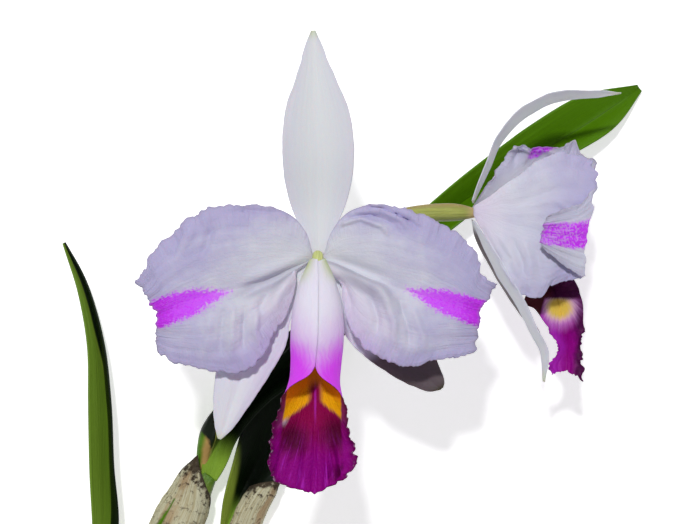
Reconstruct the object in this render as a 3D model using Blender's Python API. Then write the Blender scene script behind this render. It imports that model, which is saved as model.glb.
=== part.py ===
"""Cattleya orchid, lifted with its rhizome and laid on its back, flowers up.

The plant is drawn in millimetres about the centre of the front flower's plan, +Y towards the
dorsal sepal and +Z up from the table. PLANT_SHIFT then sets the middle of its footprint over
the origin. Every thin organ is one sheet with a thickness, and every stem is one swept tube.
"""

import math

import bpy
from mathutils import Vector

MM = 0.001

# Whole plant
PLANT_SHIFT = (-14.1, 78.9, 0.0)
FRONT_FLOWER = (0.0, 0.0, 95.0)
SIDE_FLOWER = (66.2, 19.9, 60.0)

# Thicknesses
TEPAL_THICKNESS = 0.9
LEAF_THICKNESS = 2.0
SHEATH_THICKNESS = 0.7

# Front flower outlines, seen face on from its centre: base first, tip last
DORSAL_MIDRIB = ((0, 4.2, -2), (0, 22, -0.5), (0.2, 44, 3), (-0.6, 66, 3), (-1.6, 84, 1), (-2.1, 95.5, -1))
DORSAL_HALF_WIDTHS = (2.6, 6.2, 10.5, 14, 15.2, 14.2, 11.2, 7.4, 4.0, 0.5)
LEFT_PETAL_UPPER = (
    (-4.2, 0.9, 0.8), (-8.5, 11, 3.5), (-16.5, 17, 6), (-27, 21.3, 7), (-38, 22.3, 7.5),
    (-48.5, 19.2, 7), (-58, 13, 6), (-67, 4.5, 4.5), (-75.5, -10.5, 3),
)
LEFT_PETAL_MIDRIB = (
    (-4.3, -0.8, 0.6), (-12, -5.4, 2), (-20, -9.2, 4), (-28, -11.6, 5.5), (-36, -13, 6.5),
    (-44, -14.6, 7), (-52, -17, 7), (-60, -19.8, 6), (-67.5, -22.8, 5),
)
LEFT_PETAL_LOWER = (
    (-4.2, -2.5, 0.6), (-9.6, -13, 2), (-12.2, -24, 4), (-17.5, -34.5, 5.5), (-26.5, -43.4, 6),
    (-37, -47.3, 5.5), (-47.5, -46.6, 4.5), (-58, -44.8, 3.5), (-67, -39, 3),
)
RIGHT_PETAL_UPPER = (
    (4.2, 0.9, 0.8), (7.3, 13, 3.5), (15, 20, 6), (26, 22.3, 7), (37, 20.6, 7.5),
    (48, 16.6, 7), (58, 9.5, 6), (67, 0, 4.5), (74.5, -11.3, 3),
)
RIGHT_PETAL_MIDRIB = (
    (4.3, -0.8, 0.6), (12, -4.8, 2), (20, -8.4, 4), (28, -11, 5.5), (36, -13.3, 6.5),
    (44, -15.6, 7), (52, -17.8, 7), (60, -20.2, 6), (68, -22.8, 5),
)
RIGHT_PETAL_LOWER = (
    (4.2, -2.5, 0.6), (9.5, -13, 2), (11.2, -24, 4), (16, -36, 5.5), (25.5, -41.6, 6),
    (36, -45.4, 5.5), (47, -43.2, 4.5), (57, -41.4, 3.5), (65.5, -39.5, 3),
)
LEFT_SEPAL_OUTER = (
    (-3.5, -2.7, -2.2), (-15, -11, -4), (-27, -20.5, -6), (-37, -32, -7), (-42.8, -46.5, -6.5),
    (-44, -60, -5), (-43.4, -70, -3), (-42.2, -76, -2),
)
LEFT_SEPAL_INNER = (
    (-1.2, -4.2, -2.2), (-7.5, -15, -4), (-11.4, -26, -6), (-13.8, -37, -7), (-20, -48.6, -6.5),
    (-28, -60.6, -5), (-35, -70.6, -3), (-41, -76.4, -2),
)
RIGHT_SEPAL_OUTER = (
    (3.5, -2.7, -2.2), (15, -9.5, -5), (28, -18, -8), (39, -28, -11), (47, -37, -13),
    (51.4, -46, -14), (53.3, -52, -14), (53, -55, -14),
)
RIGHT_SEPAL_INNER = (
    (1.2, -4.2, -2.2), (6.5, -17, -5), (10.5, -31, -8), (19, -41, -11), (29, -48.6, -13),
    (39, -53.8, -14), (47, -56.6, -14), (52, -55.8, -14),
)

# Lip: a sheet rolled round the column, then opening into the frilled midlobe
FRONT_LIP_FLOOR = (
    (0, -3.4, 2.3), (0, -22, 4.4), (-0.4, -41, 7.6), (-1.6, -60, 12.8), (-2.6, -79, 17.5),
    (-1.2, -97, 17.5),
)
FRONT_LIP_SEAM_SIDE = ((0, 0.1, 1), (0, 0.2, 1), (0, 0.1, 1))
FRONT_LIP_RADII = (5.0, 7.4, 9.6, 10.6, 10.7, 10.2, 10.2, 13.5, 19, 27, 32, 32)
FRONT_LIP_WRAP_DEGREES = (173, 176, 177, 177, 177, 173, 104, 72, 54, 40, 32, 4)
SIDE_LIP_FLOOR = (
    (1.9, -2.5, 0), (12, -11, -6), (24.5, -23, -11), (35.5, -36.5, -13), (41.2, -52, -12), (41, -68.5, -9),
)
SIDE_LIP_SEAM_SIDE = ((0.45, 0.9, 0.0), (0.4, 0.5, 0.7), (-0.1, 0.0, 1.0))
SIDE_LIP_RADII = (4.4, 6.2, 7.6, 8.6, 9.0, 9.4, 9.8, 10.2, 9.0, 6.6, 8.0, 10.8)
SIDE_LIP_WRAP_DEGREES = (173, 176, 177, 175, 165, 140, 118, 105, 90, 64, 58, 50)

# Side flower outlines, from its centre
SIDE_DORSAL_MIDRIB = (
    (0.4, 4.3, 0), (3.6, 10.5, -1), (9.4, 20, -3), (14.2, 30.6, -5), (22.4, 40, -8), (33, 46.6, -11),
    (44, 49.6, -13), (56, 50.4, -15), (66, 52.2, -16),
)
SIDE_DORSAL_HALF_WIDTHS = (2.4, 5, 9, 12, 12.5, 11.5, 9, 6, 0.6)
SIDE_DORSAL_ACROSS = (-0.05, 0.07, 1.0)
NEAR_PETAL_UPPER = (
    (0.6, 2.5, 3.8), (8, 10, 7), (18.5, 17.6, 9), (29, 22, 11), (40, 24.5, 12),
    (49.6, 20.4, 12), (50.2, 8, 15.5), (44, 3.8, 20), (38, 1.4, 22), (32.4, 0, 22.5),
)
NEAR_PETAL_MIDRIB = (
    (0.6, 0.4, 4.5), (10, -3.2, 9), (20, -6, 13), (29, -8, 15.5), (37, -9.8, 16.5),
    (43.6, -11, 15.5), (46.4, -11.4, 17.5), (42.6, -11.2, 21.5), (35.6, -10.8, 23), (27.6, -9.9, 23),
)
NEAR_PETAL_LOWER = (
    (0.6, -1.6, 4.3), (4.6, -11, 8), (10, -22, 12), (17, -30.5, 13.5), (25, -36, 14),
    (34, -34, 13.5), (46.4, -28.6, 16), (41.6, -25.5, 20), (36.4, -22, 22), (30.2, -17, 22.5),
)
FAR_PETAL_UPPER = (
    (0.6, 2.5, -3.8), (7, 11, -10), (11, 20, -16), (16, 28, -20), (23, 31, -19), (34, 31, -16),
    (45, 32, -13),
)
FAR_PETAL_MIDRIB = (
    (0.6, 0.4, -4.5), (10, 3, -15), (20, 6, -22), (30, 9, -25), (38, 12, -24), (45, 15, -21),
    (52, 18, -17),
)
FAR_PETAL_LOWER = (
    (0.6, -1.6, -4.3), (9, -7, -17), (20, -14, -25), (31, -18, -28), (41, -17, -27), (50, -10, -23),
    (55, 2, -19),
)
NEAR_SEPAL_MIDRIB = (
    (0.4, -3.8, 2.3), (7, -13.6, 1), (15, -26.2, 3), (24, -38.7, 6), (29.6, -50.7, 8), (32, -60, 9),
    (30.8, -72.8, 8),
)
NEAR_SEPAL_HALF_WIDTHS = (1.6, 5, 8.5, 9, 7.5, 5, 0.6)
NEAR_SEPAL_ACROSS = (-0.34, -0.14, 0.92)
FAR_SEPAL_MIDRIB = (
    (0.4, -3.8, -2.3), (1.4, -11, -7), (5.4, -19, -11), (14, -32, -15), (22.6, -44, -17), (29.4, -56, -16),
    (31.4, -66, -13),
)
FAR_SEPAL_HALF_WIDTHS = (1.8, 5, 8, 10, 8.5, 5.5, 0.6)
FAR_SEPAL_ACROSS = (0.20, 0.07, 0.97)

# Stems
PEDUNCLE_PATH = (
    (-50.2, -96.6, 12.4), (-50.3, -86, 17.2), (-43, -68, 25.7), (-24, -38, 37), (-9, -12, 47),
    (1.2, 0.9, 52.0),
)
PEDUNCLE_RADII = (1.6, 2.1, 2.5, 2.5, 2.4, 2.4)
FRONT_PEDICEL_PATH = ((1.0, 0.8, 55.3), (1.4, 1.4, 65), (0.8, 1.0, 77), (0, 0, 88), (0, 0, 96))
SIDE_PEDICEL_PATH = ((2.1, 2.0, 52.5), (17, 11.8, 56.5), (34, 17.6, 59), (52, 19.6, 60), (66.8, 19.9, 60))
PEDICEL_RADII = (2.2, 2.4, 3.0, 3.5, 3.5)

# Leaves: midrib, real half width, fold of each half above the flat, and roll about the midrib
TALL_LEAF_MIDRIB = (
    (-47.6, -98.3, 15.6), (-39.3, -79, 12.4), (-25.6, -62.6, 14), (-8, -45.6, 15.5), (16, -19.6, 15),
    (40, 5.4, 12), (66, 26.6, 9), (94, 44.4, 5.8), (122, 61.6, 2.8), (144.5, 77, 1.05),
)
TALL_LEAF_HALF_WIDTHS = (1.9, 7.0, 10.6, 12.2, 13.2, 13.8, 14.4, 15.2, 15.8, 14.6, 1.0)
TALL_LEAF_FOLD_DEGREES = (25, 52, 58, 60, 58, 46, 30)
TALL_LEAF_ROLL_DEGREES = (0, 18, 8, 2, 6, 14, 10)
MIDDLE_LEAF_MIDRIB = (
    (-43.1, -122.2, 11.8), (-38.4, -104, 8), (-31.6, -89, 4.0), (-22.5, -71, 3.0), (-13.5, -54, 2.4),
    (-3, -38, 2), (6, -24, 1.4),
)
MIDDLE_LEAF_HALF_WIDTHS = (1.9, 5.6, 9, 12, 14, 15, 14, 10, 1.0)
MIDDLE_LEAF_FOLD_DEGREES = (35, 50, 28, 14, 10, 8)
MIDDLE_LEAF_ROLL_DEGREES = (0, -22, -8, 0, 0, 0)
LEFT_LEAF_MIDRIB = (
    (-97.8, -140.9, 11.8), (-95.4, -116, 8.6), (-96.4, -90, 6.4), (-98.2, -64, 5), (-101, -39, 3.6),
    (-107.4, -14, 2.2), (-116, 7, 1.1),
)
LEFT_LEAF_HALF_WIDTHS = (2.0, 9, 12.5, 13, 12, 10, 7.5, 4.5, 0.9)
LEFT_LEAF_FOLD_DEGREES = (35, 62, 64, 64, 55)
LEFT_LEAF_ROLL_DEGREES = (0, 4, 6, 4, 0)

# Pseudobulbs: axis from rhizome to leaf joint, radius along it
TALL_BULB_AXIS = (
    (-82.8, -208.6, 8.6), (-81.6, -190, 9), (-77.6, -166, 9.6), (-70.6, -141, 10.2), (-62.3, -119, 10.8),
    (-56.4, -106.6, 12), (-49.4, -99.4, 13.6),
)
TALL_BULB_RADII = (4.8, 6.4, 8.8, 10.2, 9.8, 7.6, 3.7)
MIDDLE_BULB_AXIS = (
    (-51.4, -208.6, 8.4), (-51.0, -190, 8.4), (-48.8, -168, 8.4), (-46, -144, 9.2), (-43.2, -123.4, 11.8),
)
MIDDLE_BULB_RADII = (4.6, 6.8, 8.2, 7.4, 3.4)
LEFT_BULB_AXIS = (
    (-103.5, -208.6, 8.4), (-102.9, -192, 8.6), (-100.4, -172, 8.8), (-98.6, -154, 9.8),
    (-97.9, -141.8, 11.8),
)
LEFT_BULB_RADII = (4.6, 7.0, 8.6, 7.2, 3.4)

RHIZOME_PATH = ((-113, -214, 8.4), (-98, -214, 8.4), (-76, -214, 8.4), (-58, -214, 8.4), (-40, -214, 8.4))
RHIZOME_RADII = (3.4, 4.8, 4.8, 4.8, 3.4)

# Dry sheaths: axis and radius from the rim at the foot to the tip
TALL_SHEATH_AXIS = (
    (-74, -150, 10.2), (-68.4, -134, 10.6), (-62.3, -119, 11.2), (-57.4, -107.6, 13), (-54.8, -97.4, 17),
    (-53.6, -87.6, 20),
)
TALL_SHEATH_RADII = (11.3, 11.4, 11.0, 8.9, 4.4, 0.6)
MIDDLE_SHEATH_AXIS = (
    (-46.8, -151, 9.2), (-44.2, -137, 10.2), (-39, -124.6, 11), (-32.6, -114, 12), (-26, -106, 13),
    (-17.8, -99.7, 15),
)
MIDDLE_SHEATH_RADII = (8.9, 8.6, 8.0, 7.4, 6.2, 2.0)
FLOWER_SHEATH_AXIS = (
    (-51.4, -94.8, 13.5), (-51.6, -89, 16.3), (-50.5, -81, 19.6), (-48.6, -73, 22.2), (-46.4, -66.5, 24),
)
FLOWER_SHEATH_RADII = (2.4, 3.3, 4.2, 3.2, 0.5)
TALL_SHEATH_SIDE = (-0.45, 0.1, 0.88)
MIDDLE_SHEATH_SIDE = (0.7, -0.3, 0.65)
FLOWER_SHEATH_SIDE = (-0.9, 0.1, 0.4)
BASE_SHEATH_SIDE = (0, 0, 1)
# How far each wraps to either side, and how high its back stands beside its tip
TALL_SHEATH_WRAP = (108, 0.48)
MIDDLE_SHEATH_WRAP = (92, 0.60)
FLOWER_SHEATH_WRAP = (80, 0.55)
BASE_SHEATH_WRAP = (112, 0.50)
# The sheaths at the foot follow this part of their bulb, this far off its skin
BASE_SHEATH_FOOT = 0.04
BASE_SHEATH_TOP = 0.42
BASE_SHEATH_LIFT = 1.1
BASE_SHEATH_STEPS = 5

# Trimmed roots under the rhizome
ROOT_STARTS = (-104, -94, -84, -73, -62, -50)
ROOT_LENGTHS = (24, 31, 20, 34, 26, 22)
ROOT_RADIUS = 1.4
ROOT_FAN = 0.25
RHIZOME_FRONT = -219.3
TABLE_SEAT = 1.45

# Mesh steps: rows along a sheet, halves across it, rings and sides of a tube
TEPAL_ROWS = 14
PETAL_HALVES = 4
SEPAL_HALVES = 2
CURLED_ROWS = 20
LIP_ROWS = 22
LIP_COLUMNS = 14
LEAF_HALVES = 3
SHEATH_ROWS = 10
SHEATH_COLUMNS = 12
STEM_SIDES = 10
BULB_SIDES = 14
ROOT_STEPS = 8

# Cross sections
DORSAL_FOLD_DEGREES = (14, 14)
SIDE_FOLD_DEGREES = (6, 6)
NO_ROLL = (0, 0)
FRONT_PETAL_BELLY = 3.0
NEAR_PETAL_BELLY = 1.5
FRONT_COLUMN_RADII = (2.2, 2.7, 3.2, 3.5, 2.6)
SIDE_COLUMN_RADII = (2.0, 2.4, 2.9, 3.1, 2.3)
# How rounded the keel of a folded blade is, as a part of its half width
KEEL_SOFTNESS = 0.15
# The column's foot, its first lift off the centre, and its line up the tube of the lip
FRONT_COLUMN_START = (0, -0.2, 1.9)
FRONT_COLUMN_LIFT = (0, -1.2, 3.4)
SIDE_COLUMN_START = (1.6, 1.0, 0)
SIDE_COLUMN_LIFT = (3.2, 0.4, -0.6)
COLUMN_STATIONS = (0.12, 0.24, 0.36)
COLUMN_HEIGHT = 0.92


def clear_scene():
    for old in list(bpy.data.objects):
        bpy.data.objects.remove(old, do_unlink=True)


def finish(name, colour, roughness):
    """A plain Principled BSDF finish."""
    made = bpy.data.materials.new(name)
    made.use_nodes = True
    shader = made.node_tree.nodes["Principled BSDF"]
    shader.inputs["Base Color"].default_value = (*colour, 1.0)
    shader.inputs["Roughness"].default_value = roughness
    shader.inputs["Metallic"].default_value = 0.0
    return made


def frame_empty(name, place, parent=None):
    """An empty that carries a group of pieces, placed in millimetres."""
    made = bpy.data.objects.new(name, None)
    made.location = Vector(place) * MM
    made.parent = parent
    bpy.context.collection.objects.link(made)
    return made


def between(values, at):
    """Smooth curve through evenly spaced values or points, read at 0 to 1."""
    last = len(values) - 1
    place = min(max(at, 0.0), 1.0) * last
    index = min(int(place), last - 1)
    part = place - index
    points = [Vector(v) if hasattr(v, "__len__") else float(v) for v in values]
    p1 = points[index]
    p2 = points[index + 1]
    p0 = points[index - 1] if index > 0 else p1 * 2 - p2
    p3 = points[index + 2] if index + 2 <= last else p2 * 2 - p1
    return (
        p1
        + (p2 - p0) * (0.5 * part)
        + (p0 * 2 - p1 * 5 + p2 * 4 - p3) * (0.5 * part**2)
        + (p1 * 3 - p0 - p2 * 3 + p3) * (0.5 * part**3)
    )


def heading(values, at):
    """Unit direction of a smooth curve at 0 to 1."""
    step = 0.002
    return (between(values, min(at + step, 1.0)) - between(values, max(at - step, 0.0))).normalized()


def link_mesh(name, points, faces, material, parent):
    """A smooth-shaded mesh object from points in millimetres."""
    mesh = bpy.data.meshes.new(name)
    mesh.from_pydata([Vector(p) * MM for p in points], [], faces)
    mesh.materials.append(material)
    mesh.shade_smooth()
    made = bpy.data.objects.new(name, mesh)
    made.parent = parent
    bpy.context.collection.objects.link(made)
    return made


def sheet(name, grid, thickness, material, parent):
    """One leaf-like sheet from rows of points, given its thickness on both sides."""
    width = len(grid[0])
    points = [point for row in grid for point in row]
    faces = []
    for i in range(len(grid) - 1):
        for j in range(width - 1):
            corner = i * width + j
            faces.append((corner, corner + 1, corner + width + 1, corner + width))
    made = link_mesh(name, points, faces, material, parent)
    solid = made.modifiers.new("Thickness", "SOLIDIFY")
    solid.thickness = thickness * MM
    solid.offset = 0.0
    return made


def tube(name, path, radii, sides, rings, material, parent):
    """A closed stem swept along a smooth path."""
    points = []
    side = Vector((0, 0, 1)).cross(heading(path, 0.0))
    if side.length < 0.2:
        side = Vector((1, 0, 0))
    for i in range(rings + 1):
        at = i / rings
        along = heading(path, at)
        side = (side - along * side.dot(along)).normalized()
        up = along.cross(side)
        centre = between(path, at)
        radius = between(radii, at)
        for k in range(sides):
            turn = 2 * math.pi * k / sides
            points.append(centre + (side * math.cos(turn) + up * math.sin(turn)) * radius)
    faces = [tuple(reversed(range(sides))), tuple(rings * sides + k for k in range(sides))]
    for i in range(rings):
        for k in range(sides):
            low = i * sides
            following = (k + 1) % sides
            faces.append((low + k, low + following, low + sides + following, low + sides + k))
    return link_mesh(name, points, faces, material, parent)


def guided_grid(upper, midrib, lower, rows, halves, belly):
    """Rows from one margin over the midrib to the other, each half bellied out."""
    grid = []
    for i in range(rows + 1):
        at = i / rows
        centre = between(midrib, at)
        row = []
        for j in range(-halves, halves + 1):
            reach = abs(j) / halves
            margin = between(lower if j < 0 else upper, at)
            point = centre.lerp(margin, reach)
            point.z += belly * math.sin(math.pi * reach) * math.sin(math.pi * at)
            row.append(point)
        grid.append(row)
    return grid


def mean_line(one, other):
    """Midrib halfway between two margins."""
    return tuple((Vector(a) + Vector(b)) / 2 for a, b in zip(one, other))


def blade_grid(midrib, half_widths, fold, roll, across, rows, halves):
    """Rows across a strap-shaped blade that is folded and rolled along its midrib."""
    grid = []
    for i in range(rows + 1):
        at = i / rows
        along = heading(midrib, at)
        flat = Vector(across)
        flat = (flat - along * flat.dot(along)).normalized()
        rise = flat.cross(along)
        centre = between(midrib, at)
        half = between(half_widths, at)
        folded = math.radians(between(fold, at))
        rolled = math.radians(between(roll, at))
        row = []
        for j in range(-halves, halves + 1):
            reach = j / halves
            bend = math.hypot(reach, KEEL_SOFTNESS) - KEEL_SOFTNESS
            out = reach * math.cos(folded)
            up = bend * math.sin(folded)
            turned_out = out * math.cos(rolled) - up * math.sin(rolled)
            turned_up = out * math.sin(rolled) + up * math.cos(rolled)
            row.append(centre + flat * (half * turned_out) + rise * (half * turned_up))
        grid.append(row)
    return grid


def lip_grid(floor, seam_side, radii, wrap_degrees):
    """Rows round the lip: arcs that almost close over the column, then open out."""
    grid = []
    for i in range(LIP_ROWS + 1):
        at = i / LIP_ROWS
        along = heading(floor, at)
        up = Vector(between(seam_side, at))
        up = (up - along * up.dot(along)).normalized()
        side = along.cross(up)
        base = between(floor, at)
        radius = between(radii, at)
        wrap = math.radians(between(wrap_degrees, at))
        row = []
        for j in range(LIP_COLUMNS + 1):
            turn = wrap * (2 * j / LIP_COLUMNS - 1)
            row.append(base + up * (radius * (1 - math.cos(turn))) + side * (radius * math.sin(turn)))
        grid.append(row)
    return grid


def column_path(start, lift, floor, seam_side, radii):
    """Off the flower's centre, then along the axis of the lip's tube."""
    path = [Vector(start), Vector(start) + Vector(lift)]
    for at in COLUMN_STATIONS:
        along = heading(floor, at)
        up = Vector(between(seam_side, at))
        up = (up - along * up.dot(along)).normalized()
        path.append(between(floor, at) + up * (between(radii, at) * COLUMN_HEIGHT))
    return path


def sheath_grid(axis, radii, tip_side, wrap):
    """Rows up a dry sheath rolled round a bulb, its rim rising to a point on one side."""
    wrap_degrees, back_height = wrap
    grid = []
    for i in range(SHEATH_ROWS + 1):
        row = []
        for j in range(SHEATH_COLUMNS + 1):
            turn = math.radians(wrap_degrees) * (2 * j / SHEATH_COLUMNS - 1)
            lean = (1 + math.cos(turn)) / 2
            height = (back_height + (1 - back_height) * lean**2) * i / SHEATH_ROWS
            along = heading(axis, height)
            out = Vector(tip_side)
            out = (out - along * out.dot(along)).normalized()
            side = along.cross(out)
            reach = between(radii, height)
            row.append(between(axis, height) + (out * math.cos(turn) + side * math.sin(turn)) * reach)
        grid.append(row)
    return grid


def front_flower(plant, petal, lip, green):
    """The flower that faces up: three sepals, two petals, the lip and the column."""
    centre = frame_empty("front_flower_centre", FRONT_FLOWER, plant)
    dorsal = blade_grid(
        DORSAL_MIDRIB, DORSAL_HALF_WIDTHS, DORSAL_FOLD_DEGREES, NO_ROLL, (1, 0, 0), TEPAL_ROWS, SEPAL_HALVES
    )
    sheet("front_dorsal_sepal", dorsal, TEPAL_THICKNESS, petal, centre)
    outlines = (
        ("front_left_petal", LEFT_PETAL_UPPER, LEFT_PETAL_MIDRIB, LEFT_PETAL_LOWER),
        ("front_right_petal", RIGHT_PETAL_UPPER, RIGHT_PETAL_MIDRIB, RIGHT_PETAL_LOWER),
    )
    for name, upper, midrib, lower in outlines:
        grid = guided_grid(upper, midrib, lower, TEPAL_ROWS, PETAL_HALVES, FRONT_PETAL_BELLY)
        sheet(name, grid, TEPAL_THICKNESS, petal, centre)
    margins = (
        ("front_left_sepal", LEFT_SEPAL_OUTER, LEFT_SEPAL_INNER),
        ("front_right_sepal", RIGHT_SEPAL_OUTER, RIGHT_SEPAL_INNER),
    )
    for name, outer, inner in margins:
        grid = guided_grid(outer, mean_line(outer, inner), inner, TEPAL_ROWS, SEPAL_HALVES, 0.0)
        sheet(name, grid, TEPAL_THICKNESS, petal, centre)
    rolled = lip_grid(FRONT_LIP_FLOOR, FRONT_LIP_SEAM_SIDE, FRONT_LIP_RADII, FRONT_LIP_WRAP_DEGREES)
    sheet("front_lip", rolled, TEPAL_THICKNESS, lip, centre)
    path = column_path(
        FRONT_COLUMN_START, FRONT_COLUMN_LIFT, FRONT_LIP_FLOOR, FRONT_LIP_SEAM_SIDE, FRONT_LIP_RADII
    )
    tube("front_column", path, FRONT_COLUMN_RADII, STEM_SIDES, 8, green, centre)


def side_flower(plant, petal, lip, green):
    """The flower turned to the right, seen from its flank."""
    centre = frame_empty("side_flower_centre", SIDE_FLOWER, plant)
    straps = (
        ("side_dorsal_sepal", SIDE_DORSAL_MIDRIB, SIDE_DORSAL_HALF_WIDTHS, SIDE_DORSAL_ACROSS),
        ("side_near_sepal", NEAR_SEPAL_MIDRIB, NEAR_SEPAL_HALF_WIDTHS, NEAR_SEPAL_ACROSS),
        ("side_far_sepal", FAR_SEPAL_MIDRIB, FAR_SEPAL_HALF_WIDTHS, FAR_SEPAL_ACROSS),
    )
    for name, midrib, half_widths, across in straps:
        grid = blade_grid(
            midrib, half_widths, SIDE_FOLD_DEGREES, NO_ROLL, across, TEPAL_ROWS, SEPAL_HALVES
        )
        sheet(name, grid, TEPAL_THICKNESS, petal, centre)
    near = guided_grid(
        NEAR_PETAL_UPPER, NEAR_PETAL_MIDRIB, NEAR_PETAL_LOWER, CURLED_ROWS, PETAL_HALVES, NEAR_PETAL_BELLY
    )
    sheet("side_near_petal", near, TEPAL_THICKNESS, petal, centre)
    far = guided_grid(FAR_PETAL_UPPER, FAR_PETAL_MIDRIB, FAR_PETAL_LOWER, TEPAL_ROWS, PETAL_HALVES, 0.0)
    sheet("side_far_petal", far, TEPAL_THICKNESS, petal, centre)
    rolled = lip_grid(SIDE_LIP_FLOOR, SIDE_LIP_SEAM_SIDE, SIDE_LIP_RADII, SIDE_LIP_WRAP_DEGREES)
    sheet("side_lip", rolled, TEPAL_THICKNESS, lip, centre)
    path = column_path(
        SIDE_COLUMN_START, SIDE_COLUMN_LIFT, SIDE_LIP_FLOOR, SIDE_LIP_SEAM_SIDE, SIDE_LIP_RADII
    )
    tube("side_column", path, SIDE_COLUMN_RADII, STEM_SIDES, 8, green, centre)


def stems(plant, green):
    """The flower stem and the stalk with the ovary of each flower."""
    tube("flower_stem", PEDUNCLE_PATH, PEDUNCLE_RADII, STEM_SIDES, 14, green, plant)
    tube("front_pedicel", FRONT_PEDICEL_PATH, PEDICEL_RADII, STEM_SIDES, 10, green, plant)
    tube("side_pedicel", SIDE_PEDICEL_PATH, PEDICEL_RADII, STEM_SIDES, 10, green, plant)


def leaves(plant, green):
    """The three leaves, each one folded blade."""
    blades = (
        ("tall_leaf", TALL_LEAF_MIDRIB, TALL_LEAF_HALF_WIDTHS, TALL_LEAF_FOLD_DEGREES,
         TALL_LEAF_ROLL_DEGREES, (0.65, -0.76, 0), 22),
        ("middle_leaf", MIDDLE_LEAF_MIDRIB, MIDDLE_LEAF_HALF_WIDTHS, MIDDLE_LEAF_FOLD_DEGREES,
         MIDDLE_LEAF_ROLL_DEGREES, (0.85, -0.5, 0), 16),
        ("left_leaf", LEFT_LEAF_MIDRIB, LEFT_LEAF_HALF_WIDTHS, LEFT_LEAF_FOLD_DEGREES,
         LEFT_LEAF_ROLL_DEGREES, (1, 0, 0), 18),
    )
    for name, midrib, half_widths, fold, roll, across, rows in blades:
        grid = blade_grid(midrib, half_widths, fold, roll, across, rows, LEAF_HALVES)
        sheet(name, grid, LEAF_THICKNESS, green, plant)


def bulbs(plant, green, root_finish):
    """The three pseudobulbs and the rhizome under them."""
    tube("tall_bulb", TALL_BULB_AXIS, TALL_BULB_RADII, BULB_SIDES, 14, green, plant)
    tube("middle_bulb", MIDDLE_BULB_AXIS, MIDDLE_BULB_RADII, BULB_SIDES, 12, green, plant)
    tube("left_bulb", LEFT_BULB_AXIS, LEFT_BULB_RADII, BULB_SIDES, 12, green, plant)
    tube("rhizome", RHIZOME_PATH, RHIZOME_RADII, 12, 12, root_finish, plant)


def sheaths(plant, dry, green):
    """Dry sheaths round the bulbs, and the green one at the foot of the flower stem."""
    rolled = [
        ("tall_sheath", TALL_SHEATH_AXIS, TALL_SHEATH_RADII, TALL_SHEATH_SIDE, TALL_SHEATH_WRAP, dry),
        ("middle_sheath", MIDDLE_SHEATH_AXIS, MIDDLE_SHEATH_RADII, MIDDLE_SHEATH_SIDE,
         MIDDLE_SHEATH_WRAP, dry),
        ("flower_sheath", FLOWER_SHEATH_AXIS, FLOWER_SHEATH_RADII, FLOWER_SHEATH_SIDE,
         FLOWER_SHEATH_WRAP, green),
    ]
    clad = (
        ("tall_base_sheath", TALL_BULB_AXIS, TALL_BULB_RADII),
        ("middle_base_sheath", MIDDLE_BULB_AXIS, MIDDLE_BULB_RADII),
        ("left_base_sheath", LEFT_BULB_AXIS, LEFT_BULB_RADII),
    )
    for name, bulb_axis, bulb_radii in clad:
        span = (BASE_SHEATH_TOP - BASE_SHEATH_FOOT) / BASE_SHEATH_STEPS
        steps = [BASE_SHEATH_FOOT + span * i for i in range(BASE_SHEATH_STEPS + 1)]
        axis = [between(bulb_axis, at) for at in steps]
        radii = [between(bulb_radii, at) + BASE_SHEATH_LIFT for at in steps]
        rolled.append((name, axis, radii, BASE_SHEATH_SIDE, BASE_SHEATH_WRAP, dry))
    for name, axis, radii, side, wrap, material in rolled:
        grid = sheath_grid(axis, radii, side, wrap)
        sheet(name, grid, SHEATH_THICKNESS, material, plant)


def roots(plant, root_finish):
    """Trimmed roots that fan out from the front of the rhizome and lie on the table."""
    middle = sum(ROOT_STARTS) / len(ROOT_STARTS)
    for i, (start, length) in enumerate(zip(ROOT_STARTS, ROOT_LENGTHS)):
        lean = (start - middle) * ROOT_FAN
        path = (
            (start, RHIZOME_FRONT, 8.4), (start, RHIZOME_FRONT - 4, 8),
            (start + lean * 0.3, RHIZOME_FRONT - 10, 3.4),
            (start + lean, RHIZOME_FRONT - length, TABLE_SEAT),
        )
        tube(f"root_{i + 1}", path, (ROOT_RADIUS, ROOT_RADIUS), ROOT_STEPS, ROOT_STEPS, root_finish, plant)


def main():
    clear_scene()
    petal = finish("petal_white", (0.80, 0.78, 0.86), 0.6)
    lip = finish("lip_magenta", (0.36, 0.01, 0.30), 0.55)
    green = finish("stem_green", (0.22, 0.34, 0.06), 0.45)
    dry = finish("dry_sheath", (0.62, 0.55, 0.42), 0.8)
    root_finish = finish("rhizome_brown", (0.36, 0.27, 0.16), 0.8)
    plant = frame_empty("plant", PLANT_SHIFT)
    front_flower(plant, petal, lip, green)
    side_flower(plant, petal, lip, green)
    stems(plant, green)
    leaves(plant, green)
    bulbs(plant, green, root_finish)
    sheaths(plant, dry, green)
    roots(plant, root_finish)


if __name__ == "__main__":
    main()
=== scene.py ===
"""Looks of a lifted cattleya orchid that lies on its back, flowers up.

Run it as a script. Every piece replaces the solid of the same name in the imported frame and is
drawn in millimetres about the front flower's plan, then moved with the plant to its place.
"""

import math

import bmesh
import bpy
from bpy.props import FloatProperty, FloatVectorProperty, PointerProperty
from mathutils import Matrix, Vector, noise


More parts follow.
